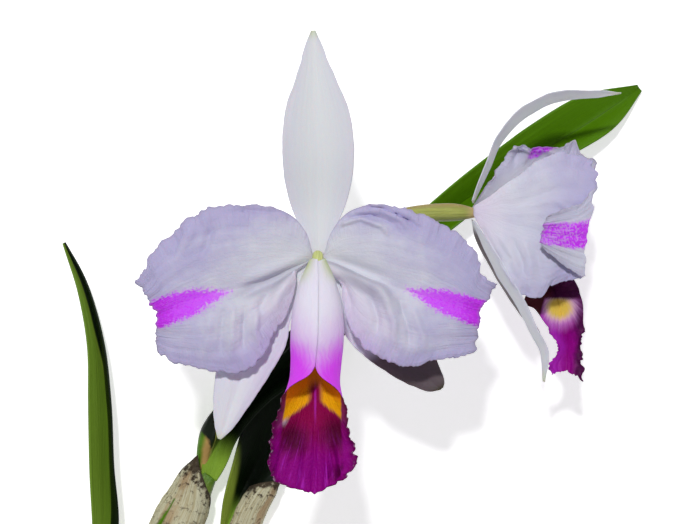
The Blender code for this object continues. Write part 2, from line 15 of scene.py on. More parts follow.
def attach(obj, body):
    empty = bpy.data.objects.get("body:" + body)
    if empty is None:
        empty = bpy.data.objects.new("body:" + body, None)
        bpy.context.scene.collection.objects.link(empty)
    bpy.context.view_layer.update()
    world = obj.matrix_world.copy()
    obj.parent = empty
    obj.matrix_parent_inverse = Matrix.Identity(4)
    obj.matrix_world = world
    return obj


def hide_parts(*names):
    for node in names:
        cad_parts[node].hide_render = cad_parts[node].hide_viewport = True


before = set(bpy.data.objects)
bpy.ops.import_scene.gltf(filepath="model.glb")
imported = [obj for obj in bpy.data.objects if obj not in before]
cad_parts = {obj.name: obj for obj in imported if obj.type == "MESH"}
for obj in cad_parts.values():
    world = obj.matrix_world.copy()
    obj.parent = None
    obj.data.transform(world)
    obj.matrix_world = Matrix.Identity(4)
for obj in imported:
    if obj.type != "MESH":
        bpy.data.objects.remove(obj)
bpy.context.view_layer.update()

bl_info = {
    "name": "Cattleya orchid",
    "version": (1, 0, 0),
    "blender": (4, 5, 0),
    "location": "3D View > Sidebar > Orchid",
    "description": "Builds the petals, lips, leaves, bulbs and stage of a lifted orchid",
    "category": "Add Mesh",
}

MM = 0.001

# Place of the plant in the row frame, and of the two flowers on the plant
PLANT_SHIFT = Vector((-14.1, 78.9, 0.0))
FRONT_FLOWER = Vector((0.0, 0.0, 95.0))
SIDE_FLOWER = Vector((66.2, 19.9, 60.0))
ON_PLANT = Vector((0, 0, 0))

# Front flower, from its centre. A blade is its midrib, half widths, degrees of fold and of roll, and
# the way across it; a petal is its upper margin, midrib and lower margin, from the base outwards
DORSAL_SEPAL = (
    ((0, 1.4, -1), (0, 20.5, -0.5), (0.2, 43.5, 3), (-0.6, 66, 3), (-1.6, 84, 1), (-2.1, 95.5, -1)),
    (4.4, 7.4, 12.0, 14.9, 15.4, 13.8, 9.6, 5.9, 3.6, 0.9),
    (14, 14),
    (0, 0),
    (1, 0, 0),
)
LEFT_PETAL = (
    (
        (-2.6, 1.4, 1.6), (-4.5, 9.4, 2.8), (-9.4, 16.4, 4.2), (-15.8, 20.2, 5.6), (-24.1, 22.3, 6.6),
        (-32.3, 22.5, 7.2), (-40.5, 21.5, 7.5), (-47.1, 19.6, 7.2), (-54, 16.6, 6.4), (-60.9, 10.8, 5.6),
        (-65.8, 5.9, 4.8), (-71.2, 0.5, 4), (-72, -4.5, 3.4), (-76.2, -10.2, 3),
    ),
    (
        (-1.6, -0.2, 1.8), (-12, -5.0, 2.6), (-20, -9.2, 4), (-28, -11.6, 5.5), (-36, -13, 6.5),
        (-44, -14.6, 7), (-52, -17, 7), (-60, -19.8, 6), (-67.5, -22.8, 5),
    ),
    (
        (-1.8, -2.4, 1.4), (-8, -6.5, 1.2), (-10.3, -15, 2.0), (-13.0, -23.6, 2.6), (-16.4, -28.6, 3.0),
        (-19.8, -33.4, 3.6), (-22.6, -39.0, 4.0), (-27, -44.8, 4.4), (-35.4, -47.9, 4.6),
        (-45.4, -46.8, 4.4), (-54.8, -45, 4), (-62.2, -42.7, 3.4), (-67.4, -39.6, 3),
    ),
)
RIGHT_PETAL = (
    (
        (2.8, 1.4, 1.6), (5.0, 9.4, 2.8), (9.8, 16.6, 4.2), (15.5, 20.6, 5.6), (22.5, 22.3, 6.6),
        (30.5, 21.8, 7.2), (38.5, 20, 7.5), (46, 16.9, 7.2), (53.4, 13.3, 6.4), (60, 8.9, 5.6),
        (64.4, 4.8, 4.8), (68.6, -2.2, 4), (69.8, -7, 3.4), (75, -10.9, 3),
    ),
    (
        (1.6, -0.2, 1.8), (12, -4.6, 2.6), (20, -8.4, 4), (28, -11, 5.5), (36, -13.3, 6.5), (44, -15.6, 7),
        (52, -17.8, 7), (60, -20.2, 6), (68, -22.4, 5),
    ),
    (
        (1.8, -2.4, 1.4), (8.6, -9.5, 1.4), (10.6, -19, 2.8), (12.4, -27, 3.8), (16, -33.8, 4.8),
        (20.4, -38.2, 5.4), (26, -41.2, 5.8), (31.5, -44, 6), (37.4, -45.8, 5.8), (44, -44.4, 5.2),
        (51, -42.5, 4.4), (58, -41.4, 3.6), (66, -39.8, 3),
    ),
)
# Outer and inner margins of the lateral sepals
LEFT_SEPAL = (
    (
        (-3.0, -0.4, -1.4), (-14, -7.6, -2.8), (-27, -20.5, -3.4), (-37, -32, -3.6), (-42.8, -46.5, -3.6),
        (-44, -60, -3.2), (-43.4, -70, -2.4), (-42.2, -76, -2),
    ),
    (
        (-1.2, -4.2, -2.2), (-7.5, -15, -3), (-11.4, -26, -3.4), (-13.8, -37, -3.6), (-20, -48.6, -3.6),
        (-28, -60.6, -3.2), (-35, -70.6, -2.4), (-41, -76.4, -2),
    ),
)
RIGHT_SEPAL = (
    (
        (3.0, -0.4, -1.4), (14, -7.0, -4), (28, -18, -8), (39, -28, -11), (47, -37, -13), (51.4, -46, -14),
        (53.3, -52, -14), (53, -55, -14),
    ),
    (
        (1.2, -4.2, -2.2), (6.5, -17, -5), (10.5, -31, -8), (19, -41, -11), (29, -48.6, -13),
        (39, -53.8, -14), (47, -56.6, -14), (52, -55.8, -14),
    ),
)
# A lip is its floor, the side that its seam lies on, its radii, and its degrees of wrap to either side
FRONT_LIP = (
    (
        (0, -0.8, 2.3), (0, -22, 4.4), (-0.4, -41, 7.6), (-1.6, -60, 12.8), (-2.6, -79, 17.5),
        (-1.2, -97, 17.5),
    ),
    ((0, 0.1, 1), (0, 0.2, 1), (0, 0.1, 1)),
    (3.0, 7.2, 9.6, 10.6, 10.7, 10.2, 10.4, 13.6, 19, 26, 32, 32),
    (
        180, 182, 183, 183, 183, 183, 183, 183, 183, 182, 181, 179, 160, 108, 82, 66, 55, 47, 41, 36, 31,
        21, 4,
    ),
)
# A column is its start, its first step away from there, and its radii
FRONT_COLUMN = ((0, 1.9, 4.4), (0, -2.4, 2.0), (1.6, 2.5, 3.0, 3.4, 2.6))
# Folds of a sheet: a path, how wide the fold is and how far it stands up or down
LIP_FOLDS = (
    (((-1.7, -96), (-1.3, -80), (-1.1, -62)), 1.0, -1.0),
    (((-9.6, -96), (-8.4, -84), (-6.8, -72)), 1.7, 1.3),
    (((-16.5, -90), (-15.2, -82), (-13.4, -74)), 1.6, -1.2),
    (((3.4, -96), (3.8, -84), (3.2, -72)), 1.5, 1.0), (((6.6, -94), (6.4, -84), (5.4, -74)), 1.3, -1.6),
    (((10.5, -92), (9.6, -83), (8.4, -75)), 1.3, 1.5), (((16, -88), (14, -80), (12, -72)), 1.5, -1.2),
)
LEFT_PETAL_FOLDS = (
    (((-4, -2.6), (-12, -5.8), (-20, -9.4), (-27, -12.6), (-33, -16.5), (-38, -22)), 2.7, -2.3),
    (((-6, -1.2), (-20, -6.2), (-34, -11.5)), 3.2, 1.2),
    (((-25.5, -21), (-26.5, -30), (-24, -38)), 1.5, 1.3),
    (((-30.5, -21), (-31, -32), (-31, -43)), 1.5, -1.3),
    (((-35, -21), (-36, -33), (-36.5, -44)), 1.3, 1.0),
    (((-39.5, -23), (-40.5, -34), (-41, -44)), 1.4, -1.0),
    (((-45, -25), (-46, -36), (-47, -44)), 1.3, 0.7),
    (((-12, -9), (-17, -16), (-20, -24)), 2.0, 1.2),
    (((-20, -14), (-24, -20), (-29, -26)), 2.2, -1.2),
    (((-44, 14), (-46, 6), (-50, -2)), 1.8, -0.9),
    (((-51, 14), (-54, 7), (-58, 1)), 1.5, 0.8),
    (((-57, 11), (-60, 4), (-62, -3)), 1.5, -0.8),
    (((-17, 19), (-29, 20), (-41, 18.6)), 0.9, -0.7),
)
RIGHT_PETAL_FOLDS = (
    (((4, -2.8), (11, -6.4), (19, -10.4), (26, -14), (31, -19.5), (34, -27)), 2.4, -2.6),
    (((6, -1.4), (20, -6), (34, -10.6)), 3.2, 1.2),
    (((10, 14), (18, 16.5), (27, 13), (32, 7)), 0.8, -1.2),
    (((13, 16.5), (22, 18.5), (31, 14.5), (36, 8)), 0.9, 0.9),
    (((16.5, 19), (26, 19.8), (35, 15.5), (40, 9)), 0.8, -1.3),
    (((22, 21), (31, 19.8), (39, 15.5), (44, 10)), 0.9, 0.9),
    (((29, 20.8), (38, 17.5), (45, 12)), 0.8, -1.0),
    (((22, -16), (25, -25), (24, -36)), 1.8, 1.3),
    (((28, -17), (32, -27), (32, -40)), 1.6, -1.3),
    (((34, -18), (38, -30), (38, -42)), 1.5, 1.0),
    (((40, -22), (44, -33), (45, -41)), 1.4, -0.8),
    (((10, -9), (13, -17), (15, -26)), 1.8, 1.0),
)
# Mouth of the front lip's tube, blotches below it (right, down and radius), and the yellow wings: how
# far down their middle lies, by how far out it is, both as parts of their span
FRONT_THROAT = (-1.0, -53.8)
LIP_BLOTCHES = ((-9.5, 21.0, 11.0), (9.0, 19.0, 11.0), (13.5, 36.0, 8.0))
LIP_WING_SPAN = 20.0
LIP_WING = ((0.0, 0.10), (0.117, 0.15), (0.35, 0.33), (0.54, 0.45), (0.68, 0.54), (1.0, 0.7))
# Half widths of the petals' flames by the place along the petal
FRONT_FLAME = ((0.47, 0.0), (0.55, 0.04), (0.65, 0.115), (0.75, 0.19), (0.87, 0.27), (1.0, 0.38))
FAR_FLAME = ((0.74, 0.0), (0.82, 0.16), (0.92, 0.27), (1.0, 0.32))
NEAR_FLAME = ((0.58, 0.0), (0.66, 0.24), (0.78, 0.33), (0.9, 0.44), (1.0, 0.56))

# Side flower, from its centre
SIDE_DORSAL = (
    (
        (0.4, 4.3, 0), (3.2, 10.5, -1), (7.8, 20, -3), (12.6, 30.6, -5), (21.8, 41, -8), (33, 47.8, -11),
        (44, 50.6, -13), (56, 51.4, -15), (66, 52.4, -16),
    ),
    (2.4, 5, 9, 12, 12.5, 11.5, 9, 6, 0.6),
    (6, 6),
    (8, 8, 6, 5, 5, 5, 5, 6, 4),
    (-0.05, 0.07, 1.0),
)
NEAR_SEPAL = (
    (
        (0.4, -3.8, 2.3), (5.0, -13.2, 2), (11.6, -25.8, 5), (19.2, -38.4, 7), (25.2, -50.6, 8),
        (30, -60, 9), (30.4, -73.0, 8),
    ),
    (1.6, 4.5, 7, 8.5, 8.2, 7.4, 6.8, 6.4, 5.4, 1.0),
    (6, 6),
    (0, 0),
    (0.19, 0.08, 0.98),
)
FAR_SEPAL = (
    (
        (0.4, -3.8, -2.3), (3.0, -12.4, -7), (9.6, -24.0, -11), (17.2, -36.0, -15), (24.2, -46.4, -17),
        (29.6, -55, -16), (31.6, -63, -13),
    ),
    (1.8, 5, 8, 10, 8.5, 5.5, 0.6),
    (6, 6),
    (0, 0),
    (0.15, 0.06, 0.98),
)
NEAR_PETAL = (
    (
        (0.6, 2.5, 3.8), (8, 7, 6.5), (15.7, 13, 8.5), (21.5, 17, 9.5), (28.4, 22.2, 10.5), (36, 25, 11),
        (43.6, 24.2, 11), (51.4, 20.4, 11.8), (52.6, 12.4, 14), (46.6, 4.5, 19.5), (39, 1.2, 22),
        (31, -1.8, 22.8),
    ),
    (
        (0.6, 0.4, 4.5), (8, -2.5, 8.5), (16, -5, 11.5), (24, -7, 14), (31, -8.6, 15.5), (38, -10, 16.2),
        (43.4, -11, 16), (46.8, -11.5, 16.4), (47.2, -11.6, 18.5), (42.4, -11.3, 21.8),
        (35.4, -10.8, 23.4), (28, -9.9, 23.6),
    ),
    (
        (0.6, -1.6, 4.3), (4.6, -9.6, 7.5), (9.6, -19.2, 11), (15.0, -28.4, 13), (20.6, -35.2, 14),
        (28.4, -36.6, 14), (33.2, -31.8, 13.8), (39.4, -29.8, 14), (46.8, -28.2, 16), (42.6, -26, 19.8),
        (36, -21.4, 22.3), (28.6, -15.6, 23),
    ),
)
NEAR_PETAL_FOLDS = (
    (((4, -8), (9, -17), (14, -26)), 1.6, 0.9), (((12, -11), (17, -19), (20, -31)), 1.3, -1.0),
    (((17, -12), (20.5, -21), (22, -31)), 1.2, 0.9), (((22, -13), (24.4, -22), (24.6, -33)), 1.3, -0.9),
    (((27, -17), (28.5, -25), (29, -33)), 1.4, 0.7), (((10, 6), (24, 14), (38, 17)), 2.2, -0.8),
    (((16, 2), (30, 8), (46, 10)), 2.2, 0.8), (((36, 4), (40, 1), (44, 2)), 1.2, -0.9),
)
# Ruffles where the near petal turns over: their wave, place and depth, and where along the petal
NEAR_CREST = (6.0, 16.3, 1.1)
NEAR_CREST_ALONG = (0.66, 0.10)
FAR_PETAL = (
    (
        (0.6, 2.5, -3.8), (5, 9, -9), (9.4, 15.5, -14), (13.4, 21.6, -18), (17, 26.4, -19.4),
        (19.6, 29.4, -17),
    ),
    ((0.6, 0.4, -4.5), (8, 5.6, -14), (16, 12, -21), (24, 18.6, -24), (31, 24.4, -21), (36, 29, -14)),
    ((0.6, -1.6, -4.3), (10, -9, -18), (24, -14, -27), (40, -8, -28), (52, 8, -24), (55.4, 24.0, -15)),
)
FAR_PETAL_FOLDS = (
    (((24, 31), (21, 26), (18, 19)), 1.5, 2.6), (((27.5, 31), (25.5, 26), (23, 21)), 1.2, -1.8),
    (((33, 30), (32, 25), (30, 20)), 1.6, 0.9), (((41, 31), (40, 26), (38, 21)), 1.2, -1.6),
    (((45, 33), (44, 27), (42, 22)), 1.3, 2.2), (((49, 28), (47, 23), (45, 19)), 1.2, -1.6),
)
# Rise of the far petal's upper margin, evenly spaced over this span from left to right
FAR_CREST_SPAN = (20.0, 55.0)
FAR_CREST = (0.0, -0.8, -1.0, -0.7, 1.0, 4.8, -0.6, 0.6)
# Height of the roll near that margin, where it lies along the petal, and how wide it is
FAR_ROLL = (1.2, 0.92, 0.035)
SIDE_LIP = (
    (
        (1.9, -2.5, 0), (12, -11, -6), (24.5, -23, -11), (35.5, -36.5, -13), (41.2, -52, -12),
        (41, -68.5, -9),
    ),
    ((0.45, 0.9, 0.0), (0.4, 0.5, 0.7), (-0.1, 0.0, 1.0)),
    (4.4, 6.2, 7.6, 8.6, 9.0, 9.4, 9.8, 10.2, 9.0, 6.6, 8.0, 10.8),
    (173, 176, 177, 175, 165, 140, 118, 105, 90, 64, 58, 50),
)
SIDE_COLUMN = ((1.6, 1.0, 0), (3.2, 0.4, -0.6), (2.0, 2.4, 2.9, 3.1, 2.3))
# Open end of the side lip from its tube's mouth down: right margin, middle and left margin
SIDE_LIP_END = (
    (
        (46.9, -28.4, -4), (46.6, -34, -4), (48.2, -39.8, -4.5), (48.4, -47, -5), (48.2, -53.6, -5.5),
        (47.8, -59, -6), (47.4, -63.6, -6), (48.4, -67.8, -6), (47.8, -72.2, -6),
    ),
    (
        (37, -30, -13), (37, -35, -12.5), (38.5, -41, -12), (40.4, -48, -11.5), (42, -54, -11),
        (42.4, -58.5, -10.5), (42, -62.6, -10), (41.8, -66, -9.5), (41.5, -69.2, -9),
    ),
    (
        (22, -33.0, -3), (22.6, -39.4, -3), (27.4, -41.9, -4), (32, -48.4, -5), (35.8, -54.2, -6),
        (37.3, -59.3, -7), (36, -62.8, -7.5), (33.2, -66.7, -7.5), (35, -70.2, -7.5),
    ),
)
# The part of the lip's length that is open, its yellow eye, and the half sizes of the eye and its halo
SIDE_LIP_OPENS = 0.34
SIDE_EYE = (38.4, -41.6)
SIDE_EYE_RADII = ((5.2, 4.6), (8.0, 9.0))

# One edge of a lip's tube lies this far over the other
LIP_LAP = 0.4
# Places along the lip that its column passes, and its height there in radii of the tube
COLUMN_STEPS = (0.12, 0.24, 0.36)
COLUMN_HEIGHT = 0.92

# Stems, leaves, bulbs and sheaths, on the plant. A stem or bulb is its axis and its radii
PEDUNCLE = (
    (
        (-50.3, -96.8, 11.8), (-50.5, -87, 14.8), (-43, -68, 25.7), (-24, -38, 37), (-9, -12, 47),
        (1.2, 0.9, 52.0),
    ),
    (1.6, 2.1, 2.5, 2.5, 2.4, 2.4),
)
FRONT_PEDICEL = (
    ((1.0, 0.8, 54.0), (1.4, 1.4, 65), (0.8, 1.0, 77), (0, 0, 88), (0, 0, 96)),
    (2.2, 2.4, 3.0, 3.4, 2.3),
)
SIDE_PEDICEL = (
    ((1.0, 1.2, 52.0), (14, 10.4, 55.8), (27, 16, 58.3), (41, 18.8, 59.6), (55, 19.6, 60), (69, 19.4, 60)),
    (2.2, 2.3, 2.5, 2.8, 3.3, 3.7, 3.9, 3.6, 1.6),
)
TALL_LEAF = (
    (
        (-49.9, -98.6, 14.4), (-43.2, -81.8, 12.6), (-26.6, -62.2, 14), (-8, -45.6, 15.5), (16, -19.6, 15),
        (40, 5.4, 12), (66, 26.6, 9), (94, 44.4, 5.8), (122, 61.6, 2.8), (144.5, 77, 1.05),
    ),
    (4.0, 9.0, 11.2, 12.2, 13.2, 13.8, 14.4, 15.2, 15.8, 13.6, 2.0),
    (25, 52, 58, 60, 58, 46, 30),
    (0, 18, 8, 2, 6, 14, 10),
    (0.65, -0.76, 0),
)
MIDDLE_LEAF = (
    (
        (-43.1, -123.2, 11.4), (-34.8, -104, 8), (-26.0, -88, 4.4), (-18.5, -71, 3.0), (-11.5, -54, 2.4),
        (-3, -38, 2), (6, -24, 1.4),
    ),
    (2.4, 9.6, 15.0, 15.4, 15, 15, 14, 10, 1.0),
    (35, 40, 26, 14, 10, 8),
    (0, -10, -5, 0, 0, 0),
    (0.85, -0.5, 0),
)
LEFT_LEAF = (
    (
        (-97.8, -142.6, 11.6), (-94.8, -116, 8.6), (-95.0, -90, 6.4), (-96.2, -64, 5), (-99, -39, 3.6),
        (-106.0, -14, 2.2), (-116, 7, 1.1),
    ),
    (3.0, 9, 12.5, 13, 12, 10, 7.5, 4.5, 0.9),
    (35, 62, 64, 64, 55),
    (0, 14, 16, 14, 8),
    (1, 0, 0),
)
TALL_BULB = (
    (
        (-82.8, -210.6, 8.6), (-81.6, -190, 9), (-77.6, -166, 9.6), (-70.6, -141, 10.2),
        (-62.3, -119, 10.8), (-56.4, -106.6, 12), (-49.3, -97.0, 13.9),
    ),
    (4.4, 6.4, 8.8, 10.2, 9.8, 7.6, 3.7),
)
MIDDLE_BULB = (
    (
        (-51.4, -210.6, 8.4), (-51.0, -190, 8.4), (-48.8, -168, 8.4), (-46, -144, 9.2),
        (-43.2, -122.4, 11.8),
    ),
    (4.2, 6.8, 8.2, 7.4, 3.4),
)
LEFT_BULB = (
    (
        (-103.5, -210.6, 8.4), (-102.9, -192, 8.6), (-100.4, -172, 8.8), (-98.6, -154, 9.8),
        (-97.9, -141.0, 11.8),
    ),
    (4.2, 7.0, 8.6, 7.2, 3.4),
)
RHIZOME = (
    ((-113, -214, 8.4), (-98, -214, 8.4), (-76, -214, 8.4), (-58, -214, 8.4), (-40, -214, 8.4)),
    (3.4, 4.8, 4.8, 4.8, 3.4),
)
# A sheath is its axis, its radii, the side of its tip, and its wrap: degrees to either side, how high
# its back stands beside its tip, and how narrow the tip is
TALL_SHEATH = (
    (
        (-74, -150, 10.2), (-69.4, -134, 10.8), (-63.8, -119, 11.9), (-58.6, -107.6, 13),
        (-56.0, -97.2, 17), (-53.6, -87.6, 20),
    ),
    (11.3, 11.6, 11.7, 10.1, 6.8, 1.4),
    (-0.45, 0.1, 0.88),
    (108, 0.48, 1.0),
)
MIDDLE_SHEATH = (
    (
        (-46.8, -151, 9.2), (-44.2, -137, 10.2), (-37, -124.6, 11), (-31.2, -111, 12), (-24.6, -101.6, 13),
        (-17.6, -97.0, 15),
    ),
    (8.9, 8.6, 8.2, 7.8, 6.6, 2.2),
    (0.7, -0.3, 0.65),
    (92, 0.60, 1.6),
)
FLOWER_SHEATH = (
    (
        (-53.1, -99.0, 11.6), (-52.3, -88.0, 15.2), (-50.2, -79.6, 19.6), (-47.9, -72.8, 23.2),
        (-46, -66.2, 25.6),
    ),
    (2.2, 2.8, 3.6, 2.8, 0.5),
    (-0.5, 0.1, 0.85),
    (125, 0.60, 2.0),
)
# Slit of the tall sheath: its ends and half its width
SHEATH_SLIT = ((-64.5, -107.2), (-79, -131))
SHEATH_SLIT_HALF = 1.3
# A base sheath clads this part of its bulb, this far off it
BASE_SHEATH = ((0, 0, 1), (112, 0.50, 2.0))
BASE_SHEATH_FOOT = 0.04
BASE_SHEATH_TOP = 0.42
BASE_SHEATH_LIFT = 1.1
BASE_SHEATH_STEPS = 5
# Roots: where each starts along the rhizome, how far it runs, and how they fan out and wander
ROOT_STARTS = (-104, -94, -84, -73, -62, -50)
ROOT_LENGTHS = (24, 31, 20, 34, 26, 22)
ROOT_RADIUS = 1.4
ROOT_FAN = 0.25
ROOT_WIGGLE = 1.8
# A root leaves the rhizome over these points: part of its fan, how far ahead, and how high. What the
# way down takes up of its length comes after them
ROOT_KNEE = ((0.0, 0.0, 8.4), (0.0, 5.5, 8.0), (0.3, 11.5, 3.4))
ROOT_DROP = 10.0
# Front of the rhizome, where roots leave it, and the height of a root's axis on the table
RHIZOME_FRONT = -217.8
TABLE_SEAT = 1.45

# The camera looks straight down on the front flower from this far, on this wide a field
CAMERA_AIM = Vector((13.44, -1.68, 95.0))
CAMERA_DISTANCE = 1200.0
CAMERA_FIELD = 294.0
SENSOR_WIDTH = 36.0
VIEW_END = 50.0
# Floor in metres, light from all round, and the sun: power, softness in degrees, direction and place
FLOOR_SIZE = 8
ROOM_LIGHT = 0.34
SUN_POWER = 2.0
SUN_SOFTNESS = 5
SUN_FROM = (-0.10, 0.40, 1.0)
SUN_PLACE = (0.2, 0.8, 2.0)

# Plain values of the shaders of petals and of lips
PETAL_SKIN = {
    "roughness": 0.6, "specular_ior_level": 0.25, "subsurface_weight": 0.1, "subsurface_scale": 0.001,
}
LIP_SKIN = {
    "roughness": 0.5, "specular_ior_level": 0.16, "subsurface_weight": 0.05, "subsurface_scale": 0.001,
}


def srgb(red, green, blue):
    """A colour given as 0 to 255 on screen, as the linear values that shaders use."""
    made = []
    for part in (red / 255, green / 255, blue / 255):
        made.append(part / 12.92 if part <= 0.04045 else ((part + 0.055) / 1.055) ** 2.4)
    return tuple(made)


def colour(name, description, red, green, blue):
    """A colour setting with its default on screen values."""
    return FloatVectorProperty(
        name=name, description=description, subtype="COLOR", size=3, min=0.0, max=1.0,
        default=srgb(red, green, blue),
    )


def length(name, description, millimetres):
    """A length setting, shown in the scene's unit."""
    return FloatProperty(
        name=name, description=description, unit="LENGTH", min=0.0, default=millimetres * MM, precision=5
    )


# Shade beside the side lip's eye
DEEP_MAROON = srgb(76, 18, 30)


class OrchidSizes(bpy.types.PropertyGroup):
    """Thicknesses and frills that a user may change."""

    tepal: length("Tepal thickness", "Thickness of petals and sepals", 0.8)
    lip: length("Lip thickness", "Thickness of the lips", 0.7)
    leaf: length("Leaf thickness", "Thickness of the leaves", 1.9)
    sheath: length("Sheath thickness", "Thickness of the dry sheaths", 0.45)
    petal_wave: length("Petal wave", "Height of the waves at a petal's margin", 1.7)
    petal_fray: length("Petal fray", "Depth of the notches in a petal's margin", 1.4)
    lip_wave: length("Lip wave", "Height of the frill round a lip", 2.2)
    lip_fray: length("Lip fray", "Depth of the notches round a lip", 1.5)


class OrchidColours(bpy.types.PropertyGroup):
    """Colours of the plant and of its stage."""

    petal: colour("Petal", "Body of petals", 212, 213, 224)
    sepal: colour("Sepal", "Grey white of the sepals", 219, 222, 226)
    # Painted shade in grooves and along margins; also the veins on a petal's back
    vein_and_shade_mauve: colour("Petal crease", "Dull mauve in the groove of a petal", 148, 140, 160)
    margin: colour("Petal margin", "Lilac towards the margins", 178, 172, 210)
    blush: colour("Petal blush", "Pinkish white near the lip", 216, 206, 224)
    flame: colour("Flame", "Magenta flame on the petals", 206, 58, 252)
    flame_light: colour("Flame light", "Paler streaks in the flame", 212, 118, 244)
    flame_deep: colour("Flame deep", "Deeper magenta where the flame is densest", 184, 30, 218)
    # Brown grey painted shade of a sepal that lies in shadow
    sepal_shadow: colour("Dull sepal", "Brown grey of the aged sepal", 90, 78, 82)
    lip_pale: colour("Lip tube", "Pinkish white of the lip's tube", 228, 222, 238)
    lip_lilac: colour("Lip lilac", "Lilac further down the tube", 214, 176, 232)
    lip_rose: colour("Lip rose", "Bright magenta of the tube's end", 214, 62, 238)
    lip_crimson: colour("Lip crimson", "Crimson of the throat", 142, 0, 76)
    lip_purple: colour("Lip purple", "Purple of the front lobe", 142, 0, 128)
    lip_dark: colour("Lip blotch", "Maroon blotches", 70, 0, 38)
    eye: colour("Lip eye", "Yellow eye of the side lip", 224, 194, 84)
    throat_yellow: colour("Throat yellow", "Yellow patches of the throat", 250, 178, 12)
    # Orange brown painted shade under the rim, also the colour of the painted glow in the throat
    throat_shade_and_glow: colour("Throat brown", "Orange brown under the tube's rim", 236, 128, 20)
    lime: colour("Column lime", "Lime green of the column's foot", 186, 208, 70)
    leaf: colour("Leaf", "Lit green of the leaves", 80, 126, 4)
    leaf_olive: colour("Left leaf", "Olive green of the left leaf", 106, 138, 40)
    leaf_under: colour("Leaf underside", "Paler dull green of the undersides", 92, 120, 56)
    leaf_foot: colour("Leaf foot", "Bright green where a leaf leaves its bulb", 128, 164, 52)
    # Deep green: painted shade on the leaves, and their veins and the spathe's dark top
    leaf_deep_shade: colour("Leaf deep", "Deep green near the bulbs", 8, 22, 4)
    spathe_tan: colour("Spathe", "Tan middle of the green sheath", 186, 150, 88)
    stem: colour("Stem", "Yellow green of stems and ovaries", 166, 172, 78)
    bulb: colour("Bulb", "Yellow green of the bulbs", 122, 142, 50)
    dry: colour("Dry sheath", "Grey beige of the dry sheaths", 180, 170, 134)
    dry_brown: colour("Dry rim", "Brown of torn rims", 46, 30, 18)
    wood: colour("Rhizome", "Brown of the rhizome", 118, 92, 60)
    root: colour("Root", "Pale velvet of the roots", 168, 152, 124)
    floor: colour("Floor", "Pale floor", 250, 250, 250)


def between(values, at):
    """Smooth curve through evenly spaced values or points, read at 0 to 1."""
    last = len(values) - 1
    place = min(max(at, 0.0), 1.0) * last
    index = min(int(place), last - 1)
    part = place - index
    points = [Vector(v) if hasattr(v, "__len__") else float(v) for v in values]
    p1 = points[index]
    p2 = points[index + 1]
    p0 = points[index - 1] if index > 0 else p1 * 2 - p2
    p3 = points[index + 2] if index + 2 <= last else p2 * 2 - p1
    return (
        p1
        + (p2 - p0) * (0.5 * part)
        + (p0 * 2 - p1 * 5 + p2 * 4 - p3) * (0.5 * part**2)
        + (p1 * 3 - p0 - p2 * 3 + p3) * (0.5 * part**3)
    )


def heading(values, at):
    """Unit direction of a smooth curve at 0 to 1."""
    step = 0.002
    return (between(values, min(at + step, 1.0)) - between(values, max(at - step, 0.0))).normalized()


def square_to(way, along):
    """Unit direction nearest to a way that stands square to another."""
    way = Vector(way)
    return (way - along * way.dot(along)).normalized()


def ease(value, low, high):
    """0 below low, 1 above high, and a smooth step between."""
    part = min(max((value - low) / (high - low), 0.0), 1.0)
    return part * part * (3 - 2 * part)


def swell(value, middle, width):
    """A bell that is 1 at its middle."""
    return math.exp(-(((value - middle) / width) ** 2))


def sway(place, scale, seed):
    """Smooth noise from -1 to 1 at a point, its features about as big as scale."""
    return noise.noise(Vector(place) / scale + Vector((seed, seed * 1.7, seed * 0.6)))


def grid_of(rows, columns, row_at):
    """Rows of points: row_at(along) gives the point of its row at any across from -1 to 1."""
    grid = []
    for i in range(rows + 1):
        point_at = row_at(i / rows)
        grid.append([point_at(2 * j / columns - 1) for j in range(columns + 1)])
    return grid


def guided_grid(upper, midrib, lower, rows, columns, belly):
    """Rows from one margin over the midrib to the other, each half bellied out."""

    def row_at(along):
        centre = between(midrib, along)
        margins = (between(lower, along), between(upper, along))

        def point_at(across):
            point = centre.lerp(margins[across > 0], abs(across))
            point.z += belly * math.sin(math.pi * abs(across)) * math.sin(math.pi * along)
            return point

        return point_at

    return grid_of(rows, columns, row_at)


def blade_grid(midrib, half_widths, fold, roll, across_way, rows, columns, softness=0.15):
    """Rows across a strap-shaped blade that is folded and rolled along its midrib."""

    def row_at(along):
        way = heading(midrib, along)
        flat = square_to(across_way, way)
        rise = flat.cross(way)
        centre = between(midrib, along)
        half = between(half_widths, along)
        folded = math.radians(between(fold, along))
        rolled = math.radians(between(roll, along))

        def point_at(across):
            out = across * math.cos(folded)
            up = (math.hypot(across, softness) - softness) * math.sin(folded)
            turned_out = out * math.cos(rolled) - up * math.sin(rolled)
            turned_up = out * math.sin(rolled) + up * math.cos(rolled)
            return centre + flat * (half * turned_out) + rise * (half * turned_up)

        return point_at

    return grid_of(rows, columns, row_at)


def lip_grid(floor, seam_side, radii, wrap_degrees, rows, columns):
    """Rows round the lip: arcs that almost close over the column, then open out."""

    def row_at(along):
        way = heading(floor, along)
        up = square_to(between(seam_side, along), way)
        side = way.cross(up)
        base = between(floor, along)
        radius = between(radii, along)
        wrap = between(wrap_degrees, along)
        closed = ease(wrap, 168, 180)

        def point_at(across):
            turn = math.radians(wrap) * across
            reach = radius + LIP_LAP * closed * ease(across, 0.6, 1.0)
            return base + up * (radius - reach * math.cos(turn)) + side * (reach * math.sin(turn))

        return point_at

    return grid_of(rows, columns, row_at)


def sheath_grid(axis, radii, tip_side, wrap, rows, columns):
    """Rows up a dry sheath rolled round a bulb, its rim rising to a point on one side."""
    wrap_degrees, back_height, narrowing = wrap

    def row_at(along):
        def point_at(across):
            turn = math.radians(wrap_degrees) * across
            lean = (1 + math.cos(turn)) / 2
            height = (back_height + (1 - back_height) * lean**narrowing) * along
            way = heading(axis, height)
            out = square_to(tip_side, way)
            ray = out * math.cos(turn) + way.cross(out) * math.sin(turn)
            return between(axis, height) + ray * between(radii, height)

        return point_at

    return grid_of(rows, columns, row_at)


